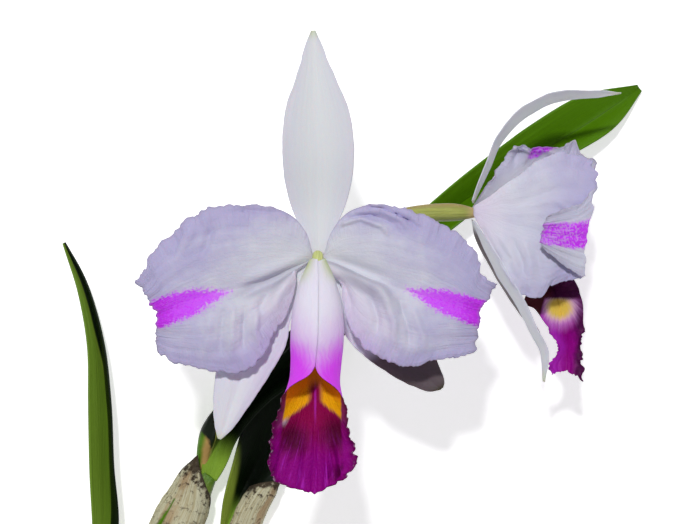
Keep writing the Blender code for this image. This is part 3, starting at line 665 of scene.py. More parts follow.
def surface_normal(grid, i, j):
    """Unit normal of a grid of points, from its neighbours."""
    rows = len(grid) - 1
    columns = len(grid[0]) - 1
    over = grid[i][min(j + 1, columns)] - grid[i][max(j - 1, 0)]
    on = grid[min(i + 1, rows)][j] - grid[max(i - 1, 0)][j]
    normal = over.cross(on)
    return normal.normalized() if normal.length > 1e-9 else Vector((0, 0, 1))


def reshaped(grid, shift):
    """The same grid moved point by point: shift gives a rise along the normal and a way in plan."""
    rows = len(grid) - 1
    columns = len(grid[0]) - 1
    made = []
    for i, row in enumerate(grid):
        line = []
        for j, point in enumerate(row):
            rise, out = shift(i, j, 2 * j / columns - 1, i / rows, point)
            line.append(point + surface_normal(grid, i, j) * rise + out)
        made.append(line)
    return made


def raised(grid, height):
    """The same grid with every point moved along its normal by height(across, along, point)."""
    stay = Vector((0, 0, 0))
    return reshaped(grid, lambda i, j, across, along, point: (height(across, along, point), stay))


def frilled(grid, reach, wave, fray, scale, seed, start=0.0):
    """Pleats that run in from the margins and grow towards them, with a frayed edge."""

    def shift(i, j, across, along, point):
        opened = ease(along, start, start + 0.12) if start else ease(along, 0.05, 0.4)
        side = ease(abs(across), 1 - reach, 1.0) ** 1.4 * opened
        tip = ease(along, 1 - reach, 1.0) ** 1.4
        row = grid[i]
        edge, inner = (row[-1], row[j - 1]) if across > 0 else (row[0], row[j + 1])
        rise = 0.0
        out = Vector((0, 0, 0))
        for weight, margin, before, start_seed in (
            (side, edge, inner, seed), (tip, grid[-1][j], grid[i - 1][j], seed + 5),
        ):
            ripple = sway(margin, scale, start_seed) + 0.35 * sway(margin, scale * 0.35, seed)
            rise += weight * ripple * wave
            if weight > 0.3:
                notch = sway(margin, scale * 0.5, seed + 9) + 0.7 * sway(margin, scale * 0.22, seed + 3)
                out += (point - before).normalized() * (weight**3 * notch * fray)
        return rise, out

    return reshaped(grid, shift)


def beside(point, start, end):
    """How far a point lies off a line seen from above, and how far along the line, from 0 to 1."""
    (ax, ay), (bx, by) = start, end
    right, up = bx - ax, by - ay
    part = ((point.x - ax) * right + (point.y - ay) * up) / (right * right + up * up)
    part = min(max(part, 0.0), 1.0)
    return math.hypot(point.x - ax - part * right, point.y - ay - part * up), part


def fold_lift(point, folds):
    """Height that ridges and grooves along paths give to a point of a sheet."""
    total = 0.0
    for path, width, depth in folds:
        steps = len(path) - 1
        spans = [(*beside(point, path[i], path[i + 1]), i) for i in range(steps)]
        gap, part, i = min(spans, key=lambda span: span[0])
        place = (i + part) / steps
        fade = (1 - ease(place, 0.55, 1.0)) * ease(place, -0.2, 0.2)
        total += depth * swell(gap, 0.0, width) * fade
    return total


def slit_at(point):
    """How far inside the tall sheath's slit a point is, from 0 to 1."""
    away, part = beside(point, *SHEATH_SLIT)
    if part in (0.0, 1.0):
        return 0.0
    half = SHEATH_SLIT_HALF * math.sin(math.pi * min(part * 0.7, 1.0 - part * 0.3))
    return 1.0 - ease(away, half * 0.6, half + 0.2)


def started(node, primitive, **settings):
    """A new primitive, the only thing selected, named for the node that it stands for."""
    bpy.ops.object.select_all(action="DESELECT")
    primitive(**settings)
    piece = bpy.context.object
    piece.name = f"{node}_skin"
    piece.data.name = piece.name
    return piece


def settle(piece, node, slot):
    """Lets a finished piece stand for its node and ride with the plant."""
    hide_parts(node)
    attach(piece, "root")


def sheet(node, grid, thickness, materials, slot, centre, front=(0, 0, 1), thin_edge=0.45, mark=None):
    """A grid primitive laid over rows of points, then given its thickness on both sides."""
    rows = len(grid) - 1
    columns = len(grid[0]) - 1
    add_grid = bpy.ops.mesh.primitive_grid_add
    piece = started(node, add_grid, x_subdivisions=columns, y_subdivisions=rows, size=2)
    spread = piece.data.attributes.new("spread", "FLOAT_VECTOR", "POINT")
    turned = -1 if surface_normal(grid, rows // 2, columns // 2).dot(Vector(front)) < 0 else 1
    weights = []
    for vertex in piece.data.vertices:
        across, along = turned * vertex.co.x, (vertex.co.y + 1) / 2
        point = grid[round(along * rows)][round((across + 1) / 2 * columns)]
        vertex.co = (point + centre + PLANT_SHIFT) * MM
        spread.data[vertex.index].vector = (across, along, mark(point) if mark else 0.0)
        weights.append(1.0 - max(ease(abs(across), 0.55, 1.0), ease(along, 0.7, 1.0)))
    body = piece.vertex_groups.new(name="body")
    for index, weight in enumerate(weights):
        body.add([index], weight, "REPLACE")
    for material in materials:
        piece.data.materials.append(material)
    solid = piece.modifiers.new("Thickness", "SOLIDIFY")
    solid.thickness = thickness
    solid.offset = 0.0
    solid.vertex_group = body.name
    solid.thickness_vertex_group = thin_edge
    solid.material_offset = len(materials) - 1
    bpy.ops.object.modifier_apply(modifier=solid.name)
    bpy.ops.object.shade_smooth()
    settle(piece, node, slot)


def tube(node, path, radii, sides, rings, material, slot, shape=None, centre=ON_PLANT):
    """A cylinder primitive cut into rings and swept along a smooth path."""
    add_cylinder = bpy.ops.mesh.primitive_cylinder_add
    piece = started(node, add_cylinder, vertices=sides, radius=1, depth=2, end_fill_type="TRIFAN")
    bpy.context.tool_settings.mesh_select_mode = (False, True, False)
    bpy.ops.object.mode_set(mode="EDIT")
    bpy.ops.mesh.select_all(action="DESELECT")
    shell = bmesh.from_edit_mesh(piece.data)
    for edge in shell.edges:
        edge.select_set(abs(edge.verts[0].co.z - edge.verts[1].co.z) > 1)
    bmesh.update_edit_mesh(piece.data)
    bpy.ops.mesh.subdivide(number_cuts=rings - 1)
    bpy.ops.object.mode_set(mode="OBJECT")
    frames = []
    side = Vector((0, 0, 1)).cross(heading(path, 0.0))
    if side.length < 0.2:
        side = Vector((1, 0, 0))
    for i in range(rings + 1):
        along = heading(path, i / rings)
        side = square_to(side, along)
        frames.append((between(path, i / rings), side.copy(), along.cross(side), between(radii, i / rings)))
    spread = piece.data.attributes.new("spread", "FLOAT_VECTOR", "POINT")
    for vertex in piece.data.vertices:
        at = (vertex.co.z + 1) / 2
        middle, over, up, radius = frames[round(at * rings)]
        x, y = vertex.co.x, vertex.co.y
        if shape and abs(x) + abs(y) > 0.5:
            radius *= shape(math.atan2(y, x), at)
        vertex.co = (middle + (over * x + up * y) * radius + centre + PLANT_SHIFT) * MM
        spread.data[vertex.index].vector = (x, y, at)
    piece.data.materials.append(material)
    bpy.ops.object.shade_smooth_by_angle(angle=math.radians(50))
    settle(piece, node, slot)


def add_column(node, column, lip, flower):
    """Column of a flower: off its centre, then along the axis of the lip's tube."""
    start, lift, radii = column
    floor, seam_side, lip_radii, _ = lip
    path = [Vector(start), Vector(start) + Vector(lift)]
    for at in COLUMN_STEPS:
        up = square_to(between(seam_side, at), heading(floor, at))
        path.append(between(floor, at) + up * (between(lip_radii, at) * COLUMN_HEIGHT))
    pale = bpy.context.scene.orchid_colours.lip_pale
    green = stalk_finish("column_look", srgb(228, 236, 150), pale)
    tube(node, path, radii, sides=24, rings=40, material=green, slot="stem_green", centre=flower)


class Wire:
    """A node's output that takes plain arithmetic: every step adds a maths node to its tree."""

    def __init__(self, socket):
        self.socket = socket
        self.tree = socket.id_data

    def step(self, operation, *values):
        return wire(self.tree, "ShaderNodeMath", dict(enumerate(values)), operation=operation)

    def __add__(self, other):
        return self.step("ADD", self, other)

    def __sub__(self, other):
        return self.step("SUBTRACT", self, other)

    def __rsub__(self, other):
        return self.step("SUBTRACT", other, self)

    def __mul__(self, other):
        return self.step("MULTIPLY", self, other)

    def __truediv__(self, other):
        return self.step("DIVIDE", self, other)

    def __pow__(self, other):
        return self.step("POWER", self, other)

    def __abs__(self):
        return self.step("ABSOLUTE", self)

    def root(self):
        return self.step("SQRT", self)

    def or_more(self, other):
        """The larger one of two values."""
        return self.step("MAXIMUM", self, other)

    def past(self, low, high):
        """Smooth step from 0 at low to 1 at high."""
        inputs = {"Value": self, "From Min": low, "From Max": high}
        return wire(self.tree, "ShaderNodeMapRange", inputs, interpolation_type="SMOOTHSTEP")

    def curve(self, stops):
        """A curve of numbers: stops are places from 0 to 1 and their values."""
        made = add(self.tree, "ShaderNodeValToRGB", {0: self})
        ramp = made.color_ramp
        while len(ramp.elements) < len(stops):
            ramp.elements.new(1.0)
        for element, (place, level) in zip(ramp.elements, stops):
            element.position = place
            element.color = (level, level, level, 1.0)
        return Wire(made.outputs[0])


def add(tree, kind, inputs=None, **settings):
    """A node with its settings, its inputs set to values or linked to wires."""
    made = tree.nodes.new(kind)
    for key, value in settings.items():
        setattr(made, key, value)
    for key, value in (inputs or {}).items():
        if isinstance(value, Wire):
            tree.links.new(value.socket, made.inputs[key])
        else:
            made.inputs[key].default_value = value
    return made


def wire(tree, kind, inputs=None, output=0, **settings):
    """One output of a new node."""
    return Wire(add(tree, kind, inputs, **settings).outputs[output])


def combined(tree, *parts):
    """A vector of two or three numbers."""
    return wire(tree, "ShaderNodeCombineXYZ", dict(enumerate(parts)))


def separated(tree, vector):
    """The three numbers of a vector."""
    return [Wire(part) for part in add(tree, "ShaderNodeSeparateXYZ", {0: vector}).outputs]


def noise_at(tree, place, scale=1.0, detail=2.0, rough=0.5):
    """Noise from 0 to 1 at a place."""
    inputs = {"Vector": place, "Scale": scale, "Detail": detail, "Roughness": rough}
    return wire(tree, "ShaderNodeTexNoise", inputs, "Fac")


def grain(tree, scale, detail=3.0, rough=0.6):
    """Noise from 0 to 1 on Object coordinates, its scale in features per metre."""
    return noise_at(tree, wire(tree, "ShaderNodeTexCoord", output="Object"), scale, detail, rough)


def local_place(tree, flower):
    """Millimetres right and up from a flower's centre."""
    place = wire(tree, "ShaderNodeTexCoord", output="Object")
    centre = (flower + PLANT_SHIFT) * MM
    moved = wire(tree, "ShaderNodeVectorMath", {0: place, 1: centre}, operation="SUBTRACT")
    scaled = wire(tree, "ShaderNodeVectorMath", {0: moved, "Scale": 1 / MM}, operation="SCALE")
    return separated(tree, scaled)[:2]


def fan_rays(tree, aside, down, behind, lines, drawn, rough):
    """Streaks that fan out from a point some way behind a lip's throat."""
    fan = aside.step("ARCTAN2", aside, down + behind)
    return noise_at(tree, combined(tree, fan * lines, down * drawn), 1.0, 3.0, rough)


def fan_veins(group, parts, count, drift):
    """Streaks that fan out from the base along a sheet, as a mask and as a height."""
    over = (parts[0] + (grain(group, 90.0, 2.0) - 0.5) * drift) * count
    coarse = noise_at(group, combined(group, over, parts[1] * 2.2), 1.0, 2.0, 0.7)
    return coarse.past(0.36, 0.64), coarse


def margin_pleats(group, parts, count):
    """Fine pleats that run in from the margins, as a height."""
    across, along, _ = parts
    from_sides = noise_at(group, combined(group, along * count, across * 3.0))
    from_tip = noise_at(group, combined(group, across * count, along * 3.0))
    return (from_sides * abs(across).past(0.45, 0.95) + from_tip * along.past(0.72, 1.0),)


def long_fibres(group, parts, count, stretch):
    """Fibres that run along a tube or a rolled sheath, with fine flecks."""
    place = combined(group, parts[0] * count, parts[1] * stretch, parts[2] * stretch)
    return noise_at(group, place, 1.0, 4.0, 0.7), grain(group, 420.0, 4.0, 0.75)


# Shared groups: the function that fills each one, its numbers with their defaults, and its outputs
GROUPS = {
    "fan_veins": (fan_veins, {"Count": 12.0, "Drift": 0.3}, ("Veins", "Height")),
    "margin_pleats": (margin_pleats, {"Count": 52.0}, ("Height",)),
    "long_fibres": (long_fibres, {"Count": 10.0, "Stretch": 1.5}, ("Fibres", "Flecks")),
}


def shared_group(name):
    """The group of this name, made the first time that it is asked for."""
    group = bpy.data.node_groups.get(name)
    if group:
        return group
    fill, numbers, outputs = GROUPS[name]
    group = bpy.data.node_groups.new(name, "ShaderNodeTree")
    group.interface.new_socket("Spread", in_out="INPUT", socket_type="NodeSocketVector")
    for label, default in numbers.items():
        socket = group.interface.new_socket(label, in_out="INPUT", socket_type="NodeSocketFloat")
        socket.default_value = default
    for label in outputs:
        group.interface.new_socket(label, in_out="OUTPUT", socket_type="NodeSocketFloat")
    start = add(group, "NodeGroupInput")
    end = add(group, "NodeGroupOutput")
    parts = separated(group, Wire(start.outputs["Spread"]))
    made = fill(group, parts, *[Wire(start.outputs[label]) for label in numbers])
    for label, value in zip(outputs, made):
        group.links.new(value.socket, end.inputs[label])
    return group


class Look:
    """A material in the making: its tree, its shader and its colour so far."""

    def __init__(self, name, **constants):
        self.material = bpy.data.materials.new(name)
        self.material.use_nodes = True
        self.tree = self.material.node_tree
        self.shader = self.tree.nodes["Principled BSDF"]
        for key, value in constants.items():
            title = key.replace("_", " ").title().replace("Ior", "IOR")
            self.shader.inputs[title].default_value = value

    def coordinates(self):
        """The piece's own surface coordinates: across or round, along, and a third one."""
        self.spread = wire(self.tree, "ShaderNodeAttribute", output="Vector", attribute_name="spread")
        return separated(self.tree, self.spread)

    def group(self, name, **numbers):
        """The outputs of a shared group read on the piece's own coordinates."""
        inputs = {"Spread": self.spread, **numbers}
        made = add(self.tree, "ShaderNodeGroup", inputs, node_tree=shared_group(name))
        return [Wire(socket) for socket in made.outputs]

    def grain(self, scale, detail=3.0, rough=0.6):
        return grain(self.tree, scale, detail, rough)

    def blots(self, scale, detail, amount):
        """Noise about 0 that reaches half of amount to either side, so that borders run unevenly."""
        return (self.grain(scale, detail) - 0.5) * amount

    def mixed(self, factor, first, second):
        """Two colours mixed by a factor; a plain colour is red, green and blue."""
        ends = [end if isinstance(end, Wire) else (*end, 1.0) for end in (first, second)]
        inputs = {0: factor, 6: ends[0], 7: ends[1]}
        return wire(self.tree, "ShaderNodeMix", inputs, 2, data_type="RGBA")

    def paint(self, factor, tint):
        """Lays a colour over what is there, as thickly as the factor says."""
        self.base = self.mixed(factor, self.base, tint)

    def enter(self, value, title):
        self.tree.links.new(value.socket, self.shader.inputs[title])

    def finish(self, height, depth, roughness=None):
        """Links colour, roughness and a bump of some depth in metres, and hands over the material."""
        self.enter(self.base, "Base Color")
        if roughness:
            self.enter(roughness, "Roughness")
        bump = {"Height": height, "Distance": depth, "Strength": 1.0}
        self.enter(wire(self.tree, "ShaderNodeBump", bump), "Normal")
        return self.material


def once(make):
    """A maker of materials that first looks for one of the same name."""

    def found_or_made(name, *values, **settings):
        return bpy.data.materials.get(name) or make(name, *values, **settings)

    return found_or_made


@once
def petal_front(name, flame, shift, tone=1.0, dense=(0.82, 1.0), net=0.12):
    """Inner face of a petal: pale body, lilac margins and a netted, feathered magenta flame."""
    look = Look(name, **PETAL_SKIN)
    shades = bpy.context.scene.orchid_colours
    across, along, _ = look.coordinates()
    lines, ridges = look.group("fan_veins", Count=16.0, Drift=0.12)
    reach = abs(across) ** 1.6 * along.curve(((0.0, 0.45), (0.45, 1.0)))
    # The lilac margin is the petal's own colour; that it reaches further in on the upper half is painted
    # shade, as that half tilts away from the light
    upper = across.past(0.1, 0.6) * along.past(0.1, 0.5)
    outer = reach.or_more(along * 0.8) + upper * 0.22
    lilac = (outer + look.blots(90.0, 3.0, 0.8)).past(0.12, 0.95)
    look.base = look.mixed(lilac * tone, shades.petal, shades.margin)
    look.paint(across.past(-0.1, -0.6) * along.past(0.7, 0.1) * 0.8, shades.blush)
    # Painted shade in the groove under the midrib, duller mauve from the base outwards
    groove = abs(across + 0.16).past(0.24, 0.0) * along.past(0.62, 0.15)
    look.paint(groove * 0.5, shades.vein_and_shade_mauve)
    look.paint(lines * 0.05, shades.margin)
    _, fine = look.group("fan_veins", Count=30.0, Drift=0.5)
    feather = (fine - 0.5) * 0.16
    speck = look.blots(900.0, 2.0, 0.22)
    edge = along.curve(flame) - abs(across - shift) + (feather + speck)
    begun = (along + speck * 0.4).past(flame[0][0], flame[1][0])
    heat = along + (feather + speck) * 1.3
    fire = look.mixed(heat.past(0.42, 0.74), shades.flame_light, shades.flame)
    packed = (along + speck * 1.5).past(*dense)
    fire = look.mixed(packed * 0.55, fire, shades.flame_deep)
    look.paint(edge.past(-0.05, 0.03) * begun * 0.45, shades.flame_light)
    holes = look.grain(1000.0, 3.0, 0.7) + packed * 0.2
    kept = holes.past(0.42, 0.58).or_more(1.0 - net)
    look.paint(edge.past(-0.01, 0.06) * begun * kept, fire)
    # Painted shade in mauve along the very margin, where it rolls
    hem = abs(across).past(0.96, 1.0).or_more(along.past(0.975, 1.0))
    look.paint(hem * 0.4, shades.vein_and_shade_mauve)
    (pleats,) = look.group("margin_pleats")
    return look.finish(ridges + look.grain(900.0) * 0.6 + pleats * 2.2, 0.0003)


@once
def petal_back(name):
    """Outer face of a petal: pinkish white at the base, lilac at the margins, raised veins."""
    look = Look(name, **PETAL_SKIN)
    shades = bpy.context.scene.orchid_colours
    _, along, _ = look.coordinates()
    lines, ridges = look.group("fan_veins", Count=14.0)
    lilac = (along + look.blots(70.0, 2.0, 0.4)).past(0.05, 0.7)
    look.base = look.mixed(lilac, shades.petal, shades.margin)
    look.paint(along.past(0.24, 0.0), shades.blush)
    look.paint(lines * 0.06, shades.vein_and_shade_mauve)
    (pleats,) = look.group("margin_pleats")
    return look.finish(ridges + look.grain(700.0, 4.0) * 0.6 + pleats * 1.5, 0.0003)


@once
def sepal_finish(name, shadowed_from=None):
    """Sepal: pale with long veins; a shadowed one takes brown grey painted shade from a place along it."""
    look = Look(name, **PETAL_SKIN)
    shades = bpy.context.scene.orchid_colours
    across, along, _ = look.coordinates()
    lines, ridges = look.group("fan_veins", Count=9.0, Drift=0.08)
    look.base = look.mixed(abs(across).past(0.2, 1.0) * 0.22, shades.sepal, shades.margin)
    look.paint(along.past(0.9, 1.02) * 0.35, shades.lime)
    look.paint(lines * 0.04, shades.margin)
    # Brown grey painted shade from a place along the sepal, darker towards its tip
    if shadowed_from is not None:
        shadowed = (along + look.blots(60.0, 3.0, 0.16)).past(shadowed_from, shadowed_from + 0.14)
        look.paint(shadowed, look.mixed(along.past(0.8, 1.0), shades.sepal_shadow, srgb(62, 58, 40)))
    return look.finish(ridges + look.grain(800.0) * 0.4, 0.0002)


@once
def lip_outside(name):
    """Outer face of a lip: lime at the foot, pinkish white, then lilac and bright magenta."""
    look = Look(name, **{**PETAL_SKIN, "roughness": 0.55})
    shades = bpy.context.scene.orchid_colours
    across, along, _ = look.coordinates()
    _, ridges = look.group("fan_veins", Count=20.0)
    reach = abs(across)
    # The flanks, halfway round the tube, redden sooner than the two edges that meet over the column
    flank = reach.past(1.0, 0.62) * 0.10
    depth = along + (look.blots(80.0, 2.0, 0.06) + (ridges - 0.5) * 0.10) + flank
    look.base = look.mixed(depth.past(0.22, 0.50), shades.lip_pale, shades.lip_lilac)
    look.paint(depth.past(0.38, 0.56), shades.lip_rose)
    look.paint(depth.past(0.66, 0.82), shades.lip_purple)
    look.paint(along.past(0.13, 0.02) * reach.past(1.02, 0.6) * 0.6, shades.lime)
    return look.finish(ridges + look.grain(800.0) * 0.4, 0.0003)


@once
def front_lip_inside(name):
    """Inner face of the front lip: yellow wings, crimson streaks and maroon blotches."""
    look = Look(name, **{**LIP_SKIN, "specular_ior_level": 0.08, "emission_strength": 1.0})
    shades = bpy.context.scene.orchid_colours
    across, _, _ = look.coordinates()
    x, y = local_place(look.tree, FRONT_FLOWER)
    aside = x - FRONT_THROAT[0]
    down = FRONT_THROAT[1] - y
    off = abs(aside)
    rays = fan_rays(look.tree, aside, down, 10.0, 22.0, 0.04, 0.7)
    ray = rays - 0.5
    uneven = ray * 9.0 + look.blots(130.0, 2.0, 9.0)
    look.base = look.mixed((down + uneven).past(13.0, 34.0), shades.lip_crimson, shades.lip_purple)
    for right, below, radius in LIP_BLOTCHES:
        away = ((aside - right) ** 2.0 + (down - below) ** 2.0).root() + uneven * 0.6
        look.paint(away.past(radius, 2.0) * 0.85, shades.lip_dark)
    look.paint(ray.past(0.02, 0.16) * down.past(16.0, 30.0) * 0.3, shades.lip_rose)
    look.paint((abs(across) + ray * 0.5).past(0.62, 1.0) * 0.6, shades.lip_dark)
    # Wings of yellow from the throat out to both sides, with a pale outer end
    gap = down - (off / LIP_WING_SPAN).curve(LIP_WING) * LIP_WING_SPAN
    ragged = gap + ray * 5.0
    under = ragged.past(4.2, 1.6)
    over = (gap + ray).past(-6.5, -1.0)
    halo = ragged.past(6.0, 3.0) * off.past(17.0, 14.5) * off.past(10.0, 13.5) * 0.7
    look.paint(halo, shades.lip_pale)
    # Towards the rim the yellow turns orange brown, painted shade under the rim
    lit = look.mixed(over, shades.throat_shade_and_glow, shades.throat_yellow)
    look.paint(under * off.past(15.6, 12.6), lit)
    band = abs(across) + ray * 0.12
    # Painted glow: emission in the throat that stands for light coming through the tube's walls
    painted_glow = (1.0 - over) * under * 0.13 * down.past(-14.0, -8.0) * band.past(0.78, 0.7)
    look.enter(look.mixed(painted_glow, (0.0, 0.0, 0.0), shades.throat_shade_and_glow), "Emission Color")
    edging = look.mixed(down.past(12.0, 26.0), srgb(128, 6, 100), shades.lip_purple)
    look.paint(band.past(0.7, 0.78) * 0.95, edging)
    look.paint(band.past(0.82, 1.0) * 0.6, shades.lip_dark)
    # Pale flecks on the frilled margin
    flecks = look.grain(700.0, 2.0).past(0.54, 0.62)
    look.paint(abs(across).past(0.93, 0.99) * flecks * 0.25, shades.lip_pale)
    # Crimson core between the wings with a thin pink line down it
    core = (off + ray * 3.0).past(4.0, 1.0) * down.past(-9.0, 1.0) * down.past(14.0, 9.0)
    look.paint(core, shades.lip_crimson)
    line = off.past(0.7, 0.2) * down.past(18.0, 6.0) * down.past(-4.0, 4.0)
    look.paint(line * 0.4, shades.lip_rose)
    return look.finish(rays + look.grain(900.0) * 0.6, 0.0009)


@once
def side_lip_inside(name):
    """Inner face of the side lip: dark above, a yellow eye in a pale halo, purple below."""
    look = Look(name, **LIP_SKIN)
    shades = bpy.context.scene.orchid_colours
    across, _, _ = look.coordinates()
    x, y = local_place(look.tree, SIDE_FLOWER)
    aside = x - SIDE_EYE[0]
    down = SIDE_EYE[1] - y
    rays = fan_rays(look.tree, aside, down, 9.0, 14.0, 0.06, 0.5)
    ray = rays - 0.5
    dark = across + look.blots(160.0, 2.0, 0.8)
    lit = look.mixed(dark.past(0.0, -0.7), shades.lip_purple, srgb(160, 26, 168))
    look.base = look.mixed(dark.past(0.25, 0.8), lit, srgb(74, 0, 66))
    eye, halo = [
        ((aside / wide) ** 2.0 + (down / tall) ** 2.0).root() + ray * 0.6
        for wide, tall in SIDE_EYE_RADII
    ]
    look.paint(halo.past(1.35, 0.5) * 0.9, srgb(206, 134, 214))
    look.paint(eye.past(1.7, 0.8) * 0.7, srgb(232, 206, 196))
    look.paint(eye.past(1.35, 0.6), shades.eye)
    shade = look.mixed(aside.past(-6.0, 0.0), DEEP_MAROON, srgb(72, 0, 64))
    look.paint((down + ray * 2.0).past(-3.2, -5.0), shade)
    left = (aside + down * 0.3).past(-6.8, -8.4) * down.past(5.5, 3.5)
    look.paint(left, DEEP_MAROON)
    return look.finish(rays + look.grain(900.0) * 0.6, 0.0004)


@once
def spathe_finish(name):
    """Green sheath of the flower stem: yellow green foot, tan middle, dark top."""
    look = Look(name, roughness=0.45, specular_ior_level=0.3)
    shades = bpy.context.scene.orchid_colours
    across, along, _ = look.coordinates()
    soft = look.blots(200.0, 3.0, 0.3)
    side = across + soft
    look.base = look.mixed(side.past(0.0, 0.35), shades.leaf, shades.spathe_tan)
    look.paint(side.past(-0.25, -0.55), shades.spathe_tan)
    look.paint((along + soft).past(0.5, 0.64), shades.leaf_deep_shade)
    return look.finish(look.grain(500.0), 0.0002)


@once
def leaf_finish(name, lit, lit_from, lit_full, shaded_side=None, lit_side=None):
    """Leathery leaf: deep green painted shade up to a place along it, lit green past it, with parallel
    veins.
    """
    look = Look(name, specular_ior_level=0.12)
    shades = bpy.context.scene.orchid_colours
    across, along, _ = look.coordinates()
    lines, ridges = look.group("fan_veins", Count=30.0, Drift=0.03)
    # Painted shade in deep green up to lit_from, lit green from lit_full on
    shown = (along + look.blots(40.0, 3.0, 0.2)).past(lit_from, lit_full)
    look.base = look.mixed(shown, shades.leaf_deep_shade, lit)
    # Painted shade along the folded midrib
    look.paint(abs(across).past(0.05, 0.0) * 0.45, shades.leaf_deep_shade)
    look.paint(lines * 0.16, shades.leaf_deep_shade)
    look.paint(along.past(0.15, 0.04), shades.leaf_foot)
    # Painted light: the lit strip beside the keel, in bulb green over the painted shade
    if lit_side:
        strip = (across + along * 2.6).past(*lit_side) * along.past(0.4, 0.15)
        look.paint(strip, shades.bulb)
    # Painted shade on the side of the fold turned from the light
    if shaded_side:
        side = across + along.past(0.4, 0.74) * 0.8
        look.paint(side.past(*shaded_side), shades.leaf_deep_shade)
        # Painted highlight along the keel between the shaded and the lit side
        look.paint(abs(side - shaded_side[0]).past(0.08, 0.0) * 0.5, shades.bulb)
    gloss = {"Value": look.grain(120.0), "To Min": 0.3, "To Max": 0.5}
    rough = wire(look.tree, "ShaderNodeMapRange", gloss)
    return look.finish(ridges + look.grain(500.0) * 0.4, 0.00025, rough)


@once
def stalk_finish(name, shade, tint, ring=None, flanks=None):
    """Ribbed living stem with a tint towards its far end and on its two flanks, the lower tint being
    painted shade.
    """
    look = Look(name, roughness=0.42, subsurface_weight=0.06, subsurface_scale=0.001)
    round_x, _, along = look.coordinates()
    fibres, flecks = look.group("long_fibres", Count=5.0, Stretch=3.0)
    look.base = look.mixed(fibres.past(0.3, 0.7), shade, [0.72 * part for part in shade])
    if flanks:
        upper, lower = flanks
        look.paint(round_x.past(0.55, 0.95) * 0.6, upper)
        # Painted shade on the flank turned away from the light
        look.paint(round_x.past(-0.1, -0.8) * 0.8, lower)
    look.paint(along.past(0.9, 1.0), tint)
    if ring:
        look.paint(flecks.past(0.56, 0.7) * 0.5, ring)
    return look.finish(fibres + flecks * 0.4, 0.0007)


@once
def dry_finish(name):
    """Papery sheath: grey beige with long fibres, brown spots, a torn dark rim and a green slit."""
    look = Look(name, roughness=0.8, specular_ior_level=0.2)
    shades = bpy.context.scene.orchid_colours
    across, along, slit = look.coordinates()
    fibres, flecks = look.group("long_fibres", Count=18.0, Stretch=2.0)
    look.base = look.mixed(fibres.past(0.38, 0.62), shades.dry, srgb(204, 202, 172))
    patch = look.grain(90.0) * abs(across).past(0.5, 0.0)
    look.paint(patch.past(0.3, 0.56) * 0.6, srgb(156, 118, 78))
    look.paint(flecks.past(0.53, 0.63) * 0.6, shades.dry_brown)
    centred = abs(across).past(0.6, 0.0) * 0.04
    rim = (along + look.blots(420.0, 3.0, 0.5) + centred).past(0.82, 0.94)
    look.paint(rim * 0.92, shades.dry_brown)
    look.paint(slit, shades.leaf)
    return look.finish(fibres + flecks * 0.5, 0.0009)


@once
def wood_finish(name, shade, spotted):
    """Rhizome and roots: rough, with rings across and flecks."""
    look = Look(name, roughness=0.85)
    look.coordinates()
    fibres, flecks = look.group("long_fibres", Count=2.0, Stretch=14.0)
    look.base = look.mixed(fibres.past(0.35, 0.65), [0.45 * part for part in shade], shade)
    look.paint(flecks.past(0.5, 0.66) * 0.5, spotted)
    return look.finish(fibres + flecks * 0.6, 0.0012)


class ORCHID_OT_front_petals(bpy.types.Operator):
    """Two broad frilled petals of the front flower"""

    bl_idname = "orchid.front_petals"
    bl_label = "Front petals"

    def execute(self, context):
        sizes = context.scene.orchid_sizes
        back = petal_back("petal_back")
        for node, outline, folds, look, shift, seed in (
            ("front_left_petal", LEFT_PETAL, LEFT_PETAL_FOLDS, "left_petal_look", -0.03, 3.0),
            ("front_right_petal", RIGHT_PETAL, RIGHT_PETAL_FOLDS, "right_petal_look", 0.01, 11.0),
        ):
            def relief(across, along, point, folds=folds, seed=seed):
                fan = noise.noise(Vector((across * 9, along * 1.4, seed)))
                pleat = 0.35 * fan * ease(abs(across), 0.1, 0.6) * ease(along, 0.1, 0.5)
                return 1.5 * fold_lift(point, folds) + pleat + 0.35 * sway(point, 8.0, seed)

            grid = raised(guided_grid(*outline, rows=100, columns=110, belly=3.0), relief)
            wave, fray = sizes.petal_wave / MM, sizes.petal_fray / MM
            grid = frilled(grid, reach=0.34, wave=wave, fray=fray, scale=6.0, seed=seed)
            faces = (petal_front(look, FRONT_FLAME, shift), back)
            sheet(node, grid, sizes.tepal, faces, "petal_white", FRONT_FLOWER)
        return {"FINISHED"}


class ORCHID_OT_front_sepals(bpy.types.Operator):
    """Dorsal and lateral sepals of the front flower"""

    bl_idname = "orchid.front_sepals"
    bl_label = "Front sepals"

    def execute(self, context):
        fresh = (sepal_finish("sepal_look"),)
        # The right sepal lies under the right petal: painted shade from about a third of the way along
        shadowed = (sepal_finish("aged_sepal_look", 0.36),)
        made = [("front_dorsal_sepal", blade_grid(*DORSAL_SEPAL, rows=90, columns=36), fresh, 0.25, 2.0)]
        for node, (outer, inner), faces, seed in (
            ("front_left_sepal", LEFT_SEPAL, fresh, 4.0), ("front_right_sepal", RIGHT_SEPAL, shadowed, 6.0),
        ):
            midrib = [(Vector(one) + Vector(other)) / 2 for one, other in zip(outer, inner)]
            grid = guided_grid(outer, midrib, inner, rows=90, columns=36, belly=0.8)
            made.append((node, grid, faces, 0.3, seed))
        for node, grid, faces, fray, seed in made:
            grid = frilled(grid, reach=0.3, wave=0.5, fray=fray, scale=12.0, seed=seed)
            sheet(node, grid, context.scene.orchid_sizes.tepal, faces, "petal_white", FRONT_FLOWER)
        return {"FINISHED"}


